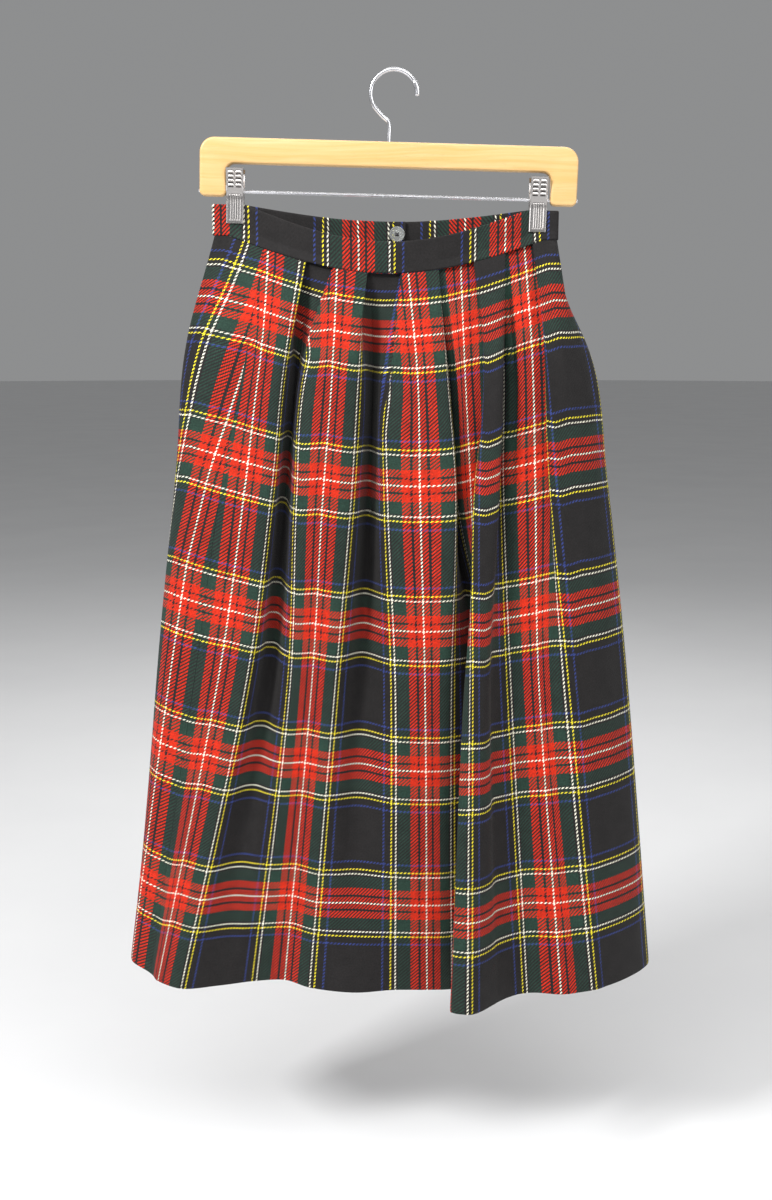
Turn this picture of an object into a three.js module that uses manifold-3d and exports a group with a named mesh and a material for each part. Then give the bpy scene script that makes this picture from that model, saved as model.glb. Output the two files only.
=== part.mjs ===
// Pleated tartan skirt hanging by its waistband from a wooden clip hanger.
// Millimetres. +Z is up, -Y is the front, +X is the viewer's right.
// The origin is inside the crown of the hanger's hook, where a rail would carry it.
import * as THREE from 'three';
import { mergeVertices } from 'three/addons/utils/BufferGeometryUtils.js';
import Module from 'manifold-3d';

const wasm = await Module();
wasm.setup();

// ---------------------------------------------------------------- driving sizes: cloth
const SETT = 141;            // one repeat of the tartan; places along the cloth are counted in setts
const CLOTH = 1.2;           // wall of one cloth
const BAND_WALL = 2.2;       // wall of the doubled and interfaced waistband
const SEAM_GAP = 0.3;        // space between two pieces that are sewn edge to edge
const LAYER_PITCH = 2.0;     // from one layer of a folded pleat to the next
const TUCK = 12;             // how far a pleat's inner fold lies behind its edge at the waist
const CORNER = 1.2 / SETT;   // half the cloth between the two corners of a pressed fold

// The waistband's loop, seen from above: two nearly flat sides joined by tight round ends.
const BAND_LEFT = -171.5;
const BAND_RIGHT = 155.5;
const BAND_CENTRE = -7.5;
const BAND_RUN = BAND_RIGHT - BAND_LEFT;
const TOP_EDGE = { half: 133.5, spread: 1.35, front: 26.6, back: 5.2, z: -122.6, slope: -0.0186, dip: [33, 12.5] };
const SEAM_EDGE = { half: 150, spread: 3.6, front: 24.4, back: 4.4, z: -150.6, slope: -0.0138, dip: [34, 15] };
const FLARE_FROM = 0.72;     // the part of the band's height that stays as narrow as its top edge
const OVERLAP = 36;          // tab of the band that runs on under its other end
const CENTRE_BACK = -25;     // where the back opening meets the waist

// Side seams and centre back, in setts along the cloth from the middle of the first red stripe.
const SIDE_LEFT = { at: -0.165, run: 48.7 };
const SIDE_RIGHT = { at: 4.905, run: 367 };
const BACK_LEFT = { at: -2.465, run: BAND_LEFT - CENTRE_BACK };
const BACK_RIGHT = { at: 7.205, run: BAND_RUN + BAND_RIGHT - CENTRE_BACK };

// Inverted pleats. from/to: cloth at the two pressed edges, floorFrom/floorTo: cloth that shows between
// them, start/end: where those edges lie on the waist seam, from the band's left end round the front.
const PLEATS = [
  { from: -2.33, floorFrom: -2.101, floorTo: -1.999, to: -1.77, start: -127.5, end: -113.1 },
  { from: -1.58, floorFrom: -1.351, floorTo: -1.249, to: -1.02, start: -86.3, end: -71.9 },
  { from: 0.25, floorFrom: 0.53, floorTo: 0.7, to: 0.97, start: 88.2, end: 113.9 },
  { from: 1.18, floorFrom: 1.47, floorTo: 1.7, to: 1.95, start: 146.2, end: 178.5 },
  { from: 2.2, floorFrom: 2.84, floorTo: 3.088, to: 3.36, start: 213.2, end: 247.1 },
  { from: 3.574, floorFrom: 3.859, floorTo: 4.05, to: 4.33, start: 276.4, end: 303.5 },
  { from: 5.2, floorFrom: 5.52, floorTo: 5.61, to: 5.93, start: 408.6, end: 421.1 },
  { from: 6.15, floorFrom: 6.48, floorTo: 6.57, to: 6.9, start: 452.1, end: 464.5 },
];

// Below the waist the pleats open into long folds. Each row follows one line of the cloth down the
// skirt: x and out (distance in front of the hanger's plane) at hip, thigh, knee and hem.
const LEVELS = [0, 0.14, 0.3, 0.56, 1];
const FOLDS = [
  { at: -2.465, x: [-26, -24, -20, -16], out: [-34, -36, -38, -40] },
  { at: -2.05, x: [-68, -71, -73, -77], out: [-8, -12, -20, -28] },
  { at: -1.68, x: [-108, -114, -119, -127], out: [-37, -40, -43, -46] },
  { at: -1.3, x: [-140, -150, -160, -174], out: [-6, -10, -16, -24] },
  { at: -0.9, x: [-168, -182, -200, -224], out: [-36, -38, -41, -44] },
  { at: -0.65, x: [-195, -209, -229, -253], out: [-16, -18, -24, -30] },
  { at: -0.5, x: [-199, -212, -237, -270], out: [4, 2, -4, -14] },
  { at: -0.33, x: [-176, -193, -222, -273], out: [22, 20, 16, 6] },
  { at: -0.165, x: [-145.6, -170.8, -200.5, -252], out: [30, 30, 28, 24] },
  { at: 0, x: [-128.7, -141.3, -172.4, -239], out: [38, 44, 46, 44] },
  { at: 0.22, x: [-103.3, -115.7, -142.3, -206], out: [40, 48, 56, 60] },
  { at: 0.5, x: [-93.5, -104, -123, -171], out: [8, 15, 28, 55] },
  { at: 0.78, x: [-83.6, -92.9, -103.5, -136.3], out: [40, 48, 52, 47] },
  { at: 1, x: [-58.2, -67.3, -79.7, -108.2], out: [44, 52, 52, 46] },
  { at: 1.22, x: [-32.9, -39.8, -56, -78], out: [42, 50, 56, 62] },
  { at: 1.5, x: [-20, -24, -30, -40], out: [9, 15, 32, 70] },
  { at: 1.78, x: [-6.1, -7, 0.3, 0], out: [42, 50, 58, 62] },
  { at: 2, x: [22.2, 24.8, 30.3, 33.8], out: [46, 54, 60, 60] },
  { at: 2.22, x: [50.3, 58.9, 57, 60], out: [44, 54, 58, 56] },
  { at: 2.55, x: [40, 49, 87, 96], out: [11, 13, 30, 36] },
  { at: 2.72, x: [48, 57, 96, 94], out: [20, 24, 40, 49] },
  { at: 2.88, x: [59, 66, 93, 78], out: [36, 40, 56, 68] },
  { at: 3, x: [67, 73.5, 81, 64], out: [37, 42, 70, 86] },
  { at: 3.1, x: [80, 84, 67.2, 55.9], out: [36, 41, 80, 98] },
  { at: 3.22, x: [90, 76, 73, 74], out: [38, 52, 84, 103] },
  { at: 3.3, x: [84, 80.5, 80.7, 83.6], out: [46, 58, 84, 99] },
  { at: 3.45, x: [96, 95, 92, 99], out: [49, 57, 75, 84] },
  { at: 3.55, x: [102.5, 100, 93, 107], out: [45, 52, 65, 76] },
  { at: 3.64, x: [100, 98, 98, 116], out: [32, 36, 58, 69] },
  { at: 3.73, x: [99, 101, 107, 127], out: [18, 28, 51, 63] },
  { at: 3.85, x: [112, 112, 121, 143], out: [28, 36, 48, 61] },
  { at: 4, x: [130.4, 134.9, 140.9, 168.6], out: [34, 40, 52, 66] },
  { at: 4.12, x: [147, 150, 152, 186], out: [35, 42, 56, 64] },
  { at: 4.24, x: [141, 147, 168, 205], out: [44, 50, 59, 59] },
  { at: 4.32, x: [143, 156, 178, 214], out: [48, 53, 57, 54] },
  { at: 4.5, x: [163, 178, 200, 236], out: [40, 44, 46, 40] },
  { at: 4.68, x: [181, 200, 224, 258], out: [24, 26, 25, 20] },
  { at: 4.82, x: [188, 208.5, 233.5, 268], out: [6, 4, 4, 2] },
  { at: 5, x: [184, 205, 230, 262], out: [-18, -20, -20, -22] },
  { at: 5.25, x: [158, 179, 203, 232], out: [-37, -39, -41, -42] },
  { at: 5.65, x: [130, 147, 165, 184], out: [-5, -10, -16, -22] },
  { at: 6.03, x: [99, 112, 124, 137], out: [-38, -40, -43, -46] },
  { at: 6.42, x: [64, 72, 78, 86], out: [-7, -12, -20, -26] },
  { at: 6.8, x: [24, 28, 32, 36], out: [-36, -38, -42, -44] },
  { at: 7.205, x: [-26, -24, -20, -16], out: [-34, -36, -38, -40] },
];
const HEM = [
  { at: -2.465, z: -878 }, { at: -0.9, z: -876 }, { at: -0.33, z: -877 }, { at: 0, z: -885 },
  { at: 1, z: -886 }, { at: 2, z: -890 }, { at: 3.2, z: -895 }, { at: 4, z: -892 },
  { at: 4.8, z: -886 }, { at: 6, z: -880 }, { at: 7.205, z: -878 },
];
const ROWS = [0, 0.03, 0.07, 0.14, 0.22, 0.3, 0.4, 0.5, 0.6, 0.7, 0.8, 0.9, 1];
const COLUMN_STEP = 0.1;     // widest column of a panel's mesh, in setts
const BAND_STEP = 9;         // widest column of the waistband's mesh

// ---------------------------------------------------------------- driving sizes: button and hanger
const BUTTON = { x: 3, z: -147, radius: 7.4, thick: 2.2, rim: 1.3, hole: 0.85, pitch: 1.9 };

const TILT = THREE.MathUtils.degToRad(1.6);   // the loaded hanger hangs a little lower at its right
const BAR = {
  width: 356, top: -63.3, rail: 23.5, bottom: -117, thick: 12, arm: 25, centre: -2.3,
  outer: 14, inner: 8, foot: 5, bevel: 1.4,
};
const ROD = { radius: 1.5, z: -112, past: 1.2 };
const BORE = SEAM_GAP;       // clearance round a wire in its hole
const HOOK = { wire: 1.7, radius: 21.8, tip: 3, turn: 214, neckZ: -50, stemX: -3.2, depth: 12 };
const CLIP = {
  xs: { clip_left: -147, clip_right: 139.7 },
  width: 16.5, top: -91, knee: -118, bottom: -141.5, sheet: 1, splay: 6.2, ear: 0.8, earReach: 2.6,
  rib: 0.7, spring: 3.6,
};

// ---------------------------------------------------------------- finishes
const paint = (color, roughness, metalness = 0) =>
  new THREE.MeshStandardMaterial({ color, roughness, metalness });
const TARTAN = paint(0x8c2420, 0.85);
const TARTAN_DARK = paint(0x26332f, 0.85);
const CLEAR_PLASTIC = paint(0xc9ccc9, 0.25);
const PALE_WOOD = paint(0xeecd8c, 0.5);
const CHROME = paint(0xc8cacc, 0.2, 1);

// ---------------------------------------------------------------- curves through tables

/** Value at `t` of a smooth curve through (stations[i], values[i]), with Catmull-Rom slopes. */
function through(stations, values, t) {
  const last = stations.length - 1;
  const slope = (i) => {
    const [a, b] = [Math.max(i - 1, 0), Math.min(i + 1, last)];
    return (values[b] - values[a]) / (stations[b] - stations[a]);
  };
  let i = 0;
  while (i < last - 1 && t > stations[i + 1]) i += 1;
  const span = stations[i + 1] - stations[i];
  const s = (t - stations[i]) / span;
  return values[i] * (1 + 2 * s) * (1 - s) ** 2 + values[i + 1] * s * s * (3 - 2 * s)
    + span * (slope(i) * s * (1 - s) ** 2 + slope(i + 1) * s * s * (s - 1));
}

/** Straight-line value at `t` through table rows [{key, ...}] for one column. */
function along(rows, key, column, t) {
  let i = 0;
  while (i < rows.length - 2 && t > rows[i + 1][key]) i += 1;
  const s = (t - rows[i][key]) / (rows[i + 1][key] - rows[i][key]);
  return rows[i][column] + s * (rows[i + 1][column] - rows[i][column]);
}

// ---------------------------------------------------------------- the waist loop

/** A point of one edge of the band: `run` is counted from its left end, along the front and round. */
function loopPoint(edge, run) {
  const front = run >= 0 && run <= BAND_RUN;
  const x = front ? BAND_LEFT + run : (run < 0 ? BAND_LEFT - run : BAND_RIGHT - (run - BAND_RUN));
  const lean = Math.min(Math.abs(x - BAND_CENTRE) / edge.half, 1);
  const swell = Math.cos(lean * Math.PI / 2);
  const fromEnd = Math.min(x - BAND_LEFT, BAND_RIGHT - x, edge.spread);
  const round = Math.sqrt(Math.max(1 - (1 - fromEnd / edge.spread) ** 2, 0));
  const out = edge.spread * round + (front ? edge.front : edge.back) * swell;
  const z = edge.z + edge.slope * x - edge.dip[front ? 0 : 1] * swell;
  return new THREE.Vector3(x, front ? -out : out, z);
}

/** Unit vector that points out of the loop at `run`, level with the floor. */
function loopNormal(edge, run) {
  const step = 0.4;
  const side = loopPoint(edge, run + step).sub(loopPoint(edge, run - step));
  return new THREE.Vector3(side.y, -side.x, 0).normalize();
}

// ---------------------------------------------------------------- the skirt's surface

/** Pressed folds of the waist, as rows of cloth place, run along the seam, and layer behind the face. */
const WAIST_KEYS = [
  { at: BACK_LEFT.at, run: BACK_LEFT.run, layer: 0 },
  ...PLEATS.flatMap((pleat) => {
    const innerLeft = (pleat.from + pleat.floorFrom) / 2;
    const innerRight = (pleat.floorTo + pleat.to) / 2;
    return [
      { at: pleat.from - CORNER, run: pleat.start, layer: 0 },
      { at: pleat.from + CORNER, run: pleat.start, layer: 1 },
      { at: innerLeft - CORNER, run: pleat.start - TUCK, layer: 1 },
      { at: innerLeft + CORNER, run: pleat.start - TUCK, layer: 2 },
      { at: pleat.floorFrom, run: pleat.start, layer: 2 },
      { at: pleat.floorTo, run: pleat.end, layer: 2 },
      { at: innerRight - CORNER, run: pleat.end + TUCK, layer: 2 },
      { at: innerRight + CORNER, run: pleat.end + TUCK, layer: 1 },
      { at: pleat.to - CORNER, run: pleat.end, layer: 1 },
      { at: pleat.to + CORNER, run: pleat.end, layer: 0 },
    ];
  }),
  { at: BACK_RIGHT.at, run: BACK_RIGHT.run, layer: 0 },
  SIDE_LEFT, SIDE_RIGHT,
].map((key) => ({ layer: 0, ...key })).sort((a, b) => a.at - b.at);

/** Where the cloth line `at` leaves the waist seam. */
function waistPoint(at) {
  const run = along(WAIST_KEYS, 'at', 'run', at);
  const layer = along(WAIST_KEYS, 'at', 'layer', at);
  return loopPoint(SEAM_EDGE, run).addScaledVector(loopNormal(SEAM_EDGE, run), -layer * LAYER_PITCH);
}

/** The folds with one more at each end, from across the back opening, so that both edges run alike. */
const AROUND = BACK_RIGHT.at - BACK_LEFT.at;
const CLOSED_FOLDS = [
  { ...FOLDS.at(-2), at: FOLDS.at(-2).at - AROUND }, ...FOLDS, { ...FOLDS[1], at: FOLDS[1].at + AROUND },
];
const FOLD_PLACES = CLOSED_FOLDS.map((fold) => fold.at);

/** The cloth line `at` as the five places that it passes on its way from the waist to the hem. */
function clothLine(at) {
  const waist = waistPoint(at);
  const level = (column, i) => through(FOLD_PLACES, CLOSED_FOLDS.map((fold) => fold[column][i]), at);
  return {
    xs: [waist.x, ...[0, 1, 2, 3].map((i) => level('x', i))],
    ys: [waist.y, ...[0, 1, 2, 3].map((i) => -level('out', i))],
    top: waist.z - SEAM_GAP,
    hem: along(HEM, 'at', 'z', at),
  };
}

/** Columns of a panel: every pressed corner between its seams, then no step wider than COLUMN_STEP. */
function columnsBetween(from, to) {
  const keys = WAIST_KEYS.map((key) => key.at).filter((at) => at > from + CORNER && at < to - CORNER);
  const stops = [from, ...keys, to];
  return stops.flatMap((stop, i) => {
    if (i === stops.length - 1) return [stop];
    const parts = Math.ceil((stops[i + 1] - stop) / COLUMN_STEP);
    return Array.from({ length: parts }, (_, k) => stop + (stops[i + 1] - stop) * k / parts);
  });
}

/** The two faces of a wall whose middle runs through `line`, half a wall to each side, kept level. */
function wallFaces(line, wall) {
  const faces = { outer: [], inner: [] };
  line.forEach((point, i) => {
    const before = line[Math.max(i - 1, 0)];
    const after = line[Math.min(i + 1, line.length - 1)];
    const [a, b] = [[before, point], [point, after]].map(([p, q]) =>
      new THREE.Vector2(q.y - p.y, p.x - q.x).normalize());
    if (i === 0) a.copy(b);
    if (i === line.length - 1) b.copy(a);
    const normal = a.clone().add(b).normalize();
    const mitre = 1 / Math.max(normal.dot(b), Math.SQRT1_2);
    const reach = new THREE.Vector3(normal.x, normal.y, 0).multiplyScalar(mitre * wall / 2);
    faces.outer.push(point.clone().add(reach));
    faces.inner.push(point.clone().sub(reach));
  });
  return faces;
}

/** One closed solid between two grids of points; both run down (rows) and along (columns). */
function closedWall(rows) {
  const [high, wide] = [rows.length, rows[0].outer.length];
  const points = rows.flatMap((row) => [...row.outer, ...row.inner]);
  const outer = (j, i) => j * 2 * wide + i;
  const inner = (j, i) => outer(j, i) + wide;
  const index = [];
  const quad = (a, b, c, d) => index.push(a, b, c, a, c, d);
  for (let j = 0; j < high - 1; j += 1) {
    for (let i = 0; i < wide - 1; i += 1) {
      quad(outer(j, i), outer(j + 1, i), outer(j + 1, i + 1), outer(j, i + 1));
      quad(inner(j, i), inner(j, i + 1), inner(j + 1, i + 1), inner(j + 1, i));
    }
    quad(outer(j, 0), inner(j, 0), inner(j + 1, 0), outer(j + 1, 0));
    quad(outer(j, wide - 1), outer(j + 1, wide - 1), inner(j + 1, wide - 1), inner(j, wide - 1));
  }
  for (let i = 0; i < wide - 1; i += 1) {
    quad(outer(0, i), outer(0, i + 1), inner(0, i + 1), inner(0, i));
    quad(outer(high - 1, i), inner(high - 1, i), inner(high - 1, i + 1), outer(high - 1, i + 1));
  }
  const geometry = new THREE.BufferGeometry().setFromPoints(points);
  geometry.setIndex(index);
  geometry.computeVertexNormals();
  return geometry;
}

function piece(name, geometry, material) {
  const mesh = new THREE.Mesh(geometry, material);
  mesh.name = name;
  return mesh;
}

/** A panel of the skirt between two seams, with its pleats pressed at the waist and open at the hem. */
function skirtPanel(name, from, to, material) {
  const seam = SEAM_GAP / 2 / SETT;
  const lines = columnsBetween(from + seam, to - seam).map(clothLine);
  const rows = ROWS.map((v) => wallFaces(lines.map((line) => new THREE.Vector3(
    through(LEVELS, line.xs, v),
    through(LEVELS, line.ys, v),
    line.top + (line.hem - line.top) * v,
  )), CLOTH));
  return piece(name, closedWall(rows), material);
}

// ---------------------------------------------------------------- the waistband and its button

/** A point of the band at `run`, `down` from 0 at its top edge to 1 at the waist seam. */
function bandPoint(run, down) {
  const top = loopPoint(TOP_EDGE, run);
  const seam = loopPoint(SEAM_EDGE, run);
  const flare = Math.max(down - FLARE_FROM, 0) / (1 - FLARE_FROM);
  const point = new THREE.Vector3(top.x, top.y + (seam.y - top.y) * flare, top.z + (seam.z - top.z) * down);
  const under = THREE.MathUtils.smoothstep(BACK_LEFT.run + OVERLAP / 2 - run, 0, OVERLAP / 2 - 3);
  return point.addScaledVector(loopNormal(TOP_EDGE, run), -under * (BAND_WALL + 2 * SEAM_GAP));
}

function waistband() {
  const start = BACK_LEFT.run - OVERLAP;
  const end = BACK_RIGHT.run - SEAM_GAP;
  const turns = [0, BAND_RUN].flatMap((turn) => [-3.4, -2, -0.8, 0, 0.8, 2, 3.4].map((step) => turn + step));
  const stops = [start, ...turns, end];
  const runs = stops.flatMap((stop, i) => {
    if (i === stops.length - 1) return [stop];
    const parts = Math.ceil((stops[i + 1] - stop) / BAND_STEP);
    return Array.from({ length: parts }, (_, k) => stop + (stops[i + 1] - stop) * k / parts);
  });
  const rows = [0, FLARE_FROM, 1].map((down) => wallFaces(runs.map((run) => bandPoint(run, down)), BAND_WALL));
  return piece('waistband', closedWall(rows), TARTAN_DARK);
}

/** A four-hole button on the inside of the tab, facing forward. */
function waistButton() {
  const { radius, thick, rim, hole, pitch } = BUTTON;
  const profile = [[0, 0], [radius - 0.6, 0], [radius, 0.6], [radius, thick - 0.5], [radius - 0.5, thick],
    [radius - rim, thick], [radius - rim - 0.6, thick - 0.5], [0, thick - 0.5]];
  const disc = new THREE.LatheGeometry(profile.map(([r, h]) => new THREE.Vector2(r, h)), 24);
  const holes = [0, 1, 2, 3].map((k) => {
    const turn = Math.PI / 4 + k * Math.PI / 2;
    return new THREE.CylinderGeometry(hole, hole, 3 * thick, 8)
      .translate(pitch * Math.SQRT2 * Math.cos(turn) / 2, thick / 2, pitch * Math.SQRT2 * Math.sin(turn) / 2);
  });
  const mesh = piece('waist_button', carve(disc, [], holes), CLEAR_PLASTIC);
  const tab = bandPoint(BACK_LEFT.run - (BUTTON.x - CENTRE_BACK), 0.4);
  mesh.rotation.x = Math.PI;
  mesh.position.set(BUTTON.x, tab.y - BAND_WALL / 2 - SEAM_GAP, BUTTON.z);
  return mesh;
}

// ---------------------------------------------------------------- joins and cuts

function solidOf(geometry) {
  const bare = geometry.clone();
  bare.deleteAttribute('normal');
  bare.deleteAttribute('uv');
  const merged = mergeVertices(bare, 1e-4);
  return new wasm.Manifold(new wasm.Mesh({
    numProp: 3,
    vertProperties: new Float32Array(merged.attributes.position.array),
    triVerts: new Uint32Array(merged.index.array),
  }));
}

/** `base` with the geometries of `added` joined to it and those of `cut` taken out. */
function carve(base, added, cut) {
  let solid = solidOf(base);
  added.forEach((geometry) => { solid = solid.add(solidOf(geometry)); });
  cut.forEach((geometry) => { solid = solid.subtract(solidOf(geometry)); });
  const { vertProperties, triVerts } = solid.getMesh();
  const geometry = new THREE.BufferGeometry();
  geometry.setAttribute('position', new THREE.BufferAttribute(new Float32Array(vertProperties), 3));
  geometry.setIndex([...triVerts]);
  geometry.computeVertexNormals();
  return geometry;
}

// ---------------------------------------------------------------- the hanger

const rodAlongX = (radius, length, sides = 16) =>
  new THREE.CylinderGeometry(radius, radius, length, sides).rotateZ(Math.PI / 2);

/** The wooden rail with its two short arms, bored for the hook's stem and the rod. */
function hangerBar() {
  const half = BAR.width / 2;
  const inside = half - BAR.arm;
  const rail = BAR.top - BAR.rail;
  const outline = new THREE.Shape();
  outline.moveTo(-half + BAR.outer, BAR.top);
  outline.absarc(-half + BAR.outer, BAR.top - BAR.outer, BAR.outer, Math.PI / 2, Math.PI, false);
  outline.absarc(-half + BAR.foot, BAR.bottom + BAR.foot, BAR.foot, Math.PI, 1.5 * Math.PI, false);
  outline.absarc(-inside - BAR.foot, BAR.bottom + BAR.foot, BAR.foot, 1.5 * Math.PI, 2 * Math.PI, false);
  outline.absarc(-inside + BAR.inner, rail - BAR.inner, BAR.inner, Math.PI, Math.PI / 2, true);
  outline.absarc(inside - BAR.inner, rail - BAR.inner, BAR.inner, Math.PI / 2, 0, true);
  outline.absarc(inside + BAR.foot, BAR.bottom + BAR.foot, BAR.foot, Math.PI, 1.5 * Math.PI, false);
  outline.absarc(half - BAR.foot, BAR.bottom + BAR.foot, BAR.foot, 1.5 * Math.PI, 2 * Math.PI, false);
  outline.absarc(half - BAR.outer, BAR.top - BAR.outer, BAR.outer, 0, Math.PI / 2, false);
  outline.closePath();
  const board = new THREE.ExtrudeGeometry(outline, {
    depth: BAR.thick - 2 * BAR.bevel, curveSegments: 5,
    bevelEnabled: true, bevelThickness: BAR.bevel, bevelSize: BAR.bevel, bevelOffset: -BAR.bevel, bevelSegments: 2,
  });
  board.translate(0, 0, BAR.bevel - BAR.thick / 2).rotateX(Math.PI / 2).translate(BAR.centre, 0, 0);
  const stem = HOOK.wire + BORE;
  const stemHole = new THREE.CylinderGeometry(stem, stem, 2 * (HOOK.depth + BORE), 12)
    .rotateX(Math.PI / 2).translate(HOOK.stemX, 0, BAR.top);
  const rodHole = rodAlongX(ROD.radius + BORE, BAR.width + 20).translate(BAR.centre, 0, ROD.z);
  return piece('hanger_bar', carve(board, [], [stemHole, rodHole]), PALE_WOOD);
}

/** The wire hook: most of a circle, a short neck, and a stem that stands in the rail. */
function hangerHook() {
  const drop = HOOK.wire - HOOK.radius;
  const middle = new THREE.Vector2(-drop * Math.sin(TILT), drop * Math.cos(TILT));
  const arc = Array.from({ length: 15 }, (_, k) => {
    const turn = THREE.MathUtils.degToRad(HOOK.tip + (HOOK.turn - HOOK.tip) * k / 14);
    return new THREE.Vector3(middle.x + HOOK.radius * Math.cos(turn), 0, middle.y + HOOK.radius * Math.sin(turn));
  });
  const neck = [[-9.5, -40.5], [HOOK.stemX - 1.4, -44.5], [HOOK.stemX, HOOK.neckZ], [HOOK.stemX, HOOK.neckZ - 8],
    [HOOK.stemX, BAR.top - HOOK.depth]].map(([x, z]) => new THREE.Vector3(x, 0, z));
  const path = new THREE.CatmullRomCurve3([...arc, ...neck], false, 'centripetal');
  const section = new THREE.Shape().absarc(0, 0, HOOK.wire, 0, 2 * Math.PI, false);
  const wire = new THREE.ExtrudeGeometry(section, { steps: 40, curveSegments: 5, extrudePath: path, bevelEnabled: false });
  return piece('hanger_hook', wire, CHROME);
}

function hangerRod() {
  const length = BAR.width + 2 * ROD.past;
  return piece('hanger_rod', rodAlongX(ROD.radius, length).translate(BAR.centre, 0, ROD.z), CHROME);
}

/** One leaf of a clip, pressed from sheet: `side` is -1 in front of the band and 1 behind it. */
function clipLeaf(name, x, side) {
  const near = TOP_EDGE.spread + BAND_WALL / 2 + SEAM_GAP;
  const far = near + CLIP.splay;
  const { top, knee, bottom, sheet, width, ear, earReach, rib } = CLIP;
  const slab = (outline, span, centre) => {
    const shape = new THREE.Shape(outline.map(([out, z]) => new THREE.Vector2(side * out, z)));
    return new THREE.ExtrudeGeometry(shape, { depth: span, bevelEnabled: false })
      .translate(0, 0, -span / 2).rotateX(Math.PI / 2).rotateZ(Math.PI / 2).translate(centre, 0, 0);
  };
  const leaf = slab([[near, bottom], [near + sheet, bottom], [near + sheet, knee], [far + sheet, top], [far, top],
    [near, knee]], width, 0);
  const grade = (far - near) / (top - knee);
  const ribs = [-1.5, -0.5, 0.5, 1.5].map((step) =>
    slab([[near + sheet - 0.3, bottom + 2], [near + sheet + rib, bottom + 2.5], [near + sheet + rib, knee - 1],
      [near + sheet - 0.3, knee - 0.5]], 1.6, step * width / 4.4));
  const louvres = [-1, 1].flatMap((column) => [0, 1, 2, 3].map((row) => {
    const z = top - 3 - row * 4.3;
    const face = near + sheet + (z - knee) * grade;
    return slab([[face - 0.3, z], [face - 0.3 - 1.6 * grade, z - 1.6], [face + rib - 1.6 * grade, z - 1.6],
      [face + rib, z]], width * 0.32, column * width / 4);
  }));
  const earX = width / 2 - ear / 2 - (side > 0 ? ear + SEAM_GAP : 0);
  const ears = [-1, 1].map((end) => slab([[near + 0.4, ROD.z - 4.5], [far - 1.6, ROD.z + 4.5],
    [-earReach, ROD.z + 3], [-earReach, ROD.z - 3]], ear, end * earX));
  const bore = rodAlongX(ROD.radius + BORE, width + 4, 12).translate(0, 0, ROD.z);
  const mesh = piece(name, carve(leaf, [...ribs, ...louvres, ...ears], [bore]), CHROME);
  mesh.position.x = x;
  return mesh;
}

/** The coil that closes a clip, as a sleeve round the rod between the ears. */
function clipSpring(name, x) {
  const half = CLIP.width / 2 - 2 * (CLIP.ear + SEAM_GAP) - SEAM_GAP;
  const [inner, outer] = [ROD.radius + BORE, CLIP.spring];
  const ring = [[inner, -half], [outer, -half], [outer, half], [inner, half], [inner, -half]];
  const sleeve = new THREE.LatheGeometry(ring.map(([r, h]) => new THREE.Vector2(r, h)), 16).rotateZ(Math.PI / 2);
  const mesh = piece(name, sleeve, CHROME);
  mesh.position.set(x, 0, ROD.z);
  return mesh;
}

// ---------------------------------------------------------------- the whole

const skirt = new THREE.Group();
skirt.add(
  skirtPanel('front_panel', SIDE_LEFT.at, SIDE_RIGHT.at, TARTAN),
  skirtPanel('back_left_panel', BACK_LEFT.at, SIDE_LEFT.at, TARTAN_DARK),
  skirtPanel('back_right_panel', SIDE_RIGHT.at, BACK_RIGHT.at, TARTAN_DARK),
  waistband(),
  waistButton(),
);

const hanger = new THREE.Group();
hanger.rotation.y = TILT;
hanger.add(hangerBar(), hangerHook(), hangerRod());
Object.entries(CLIP.xs).forEach(([name, x]) => {
  hanger.add(clipLeaf(`${name}_front`, x, -1), clipLeaf(`${name}_rear`, x, 1), clipSpring(`${name}_spring`, x));
});

const part = new THREE.Group();
part.add(skirt, hanger);

export default part;
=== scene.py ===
"""Looks of a pleated tartan skirt that hangs by its waistband from a wooden clip hanger.

Lengths inside the classes are millimetres in the part's frame: +Z up, -Y the front, origin in the hook's crown.
A mesh is turned into metres once, as it is made.
"""
from __future__ import annotations

import logging
import math
from dataclasses import dataclass, field
from enum import Enum
from typing import ClassVar, Sequence

import bpy
import numpy as np
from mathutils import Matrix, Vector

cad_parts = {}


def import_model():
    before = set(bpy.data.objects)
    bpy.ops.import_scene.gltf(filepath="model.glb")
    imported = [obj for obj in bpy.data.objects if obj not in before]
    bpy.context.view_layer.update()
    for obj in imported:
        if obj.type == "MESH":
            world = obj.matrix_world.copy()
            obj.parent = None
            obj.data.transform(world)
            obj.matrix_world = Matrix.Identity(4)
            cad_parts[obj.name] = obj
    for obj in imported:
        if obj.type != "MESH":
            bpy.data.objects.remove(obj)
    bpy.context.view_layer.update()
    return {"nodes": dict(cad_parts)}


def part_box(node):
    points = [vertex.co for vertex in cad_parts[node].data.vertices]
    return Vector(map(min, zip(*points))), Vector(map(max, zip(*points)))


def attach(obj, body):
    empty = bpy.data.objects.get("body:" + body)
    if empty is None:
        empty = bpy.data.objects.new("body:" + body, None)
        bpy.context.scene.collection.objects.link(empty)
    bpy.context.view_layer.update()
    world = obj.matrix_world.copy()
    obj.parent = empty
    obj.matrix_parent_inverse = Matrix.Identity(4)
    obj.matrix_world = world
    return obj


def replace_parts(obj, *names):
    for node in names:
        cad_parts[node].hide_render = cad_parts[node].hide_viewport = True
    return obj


LOG = logging.getLogger("skirt")
Material, Node, Object = bpy.types.Material, bpy.types.Node, bpy.types.Object
Socket, Tree = bpy.types.NodeSocket, bpy.types.NodeTree
MM = 0.001
BODY = "root"


class Side(Enum):
    """Which leaf of a clip: its sign along Y."""

    FRONT = -1
    REAR = 1


# ---- curves and grids


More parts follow.
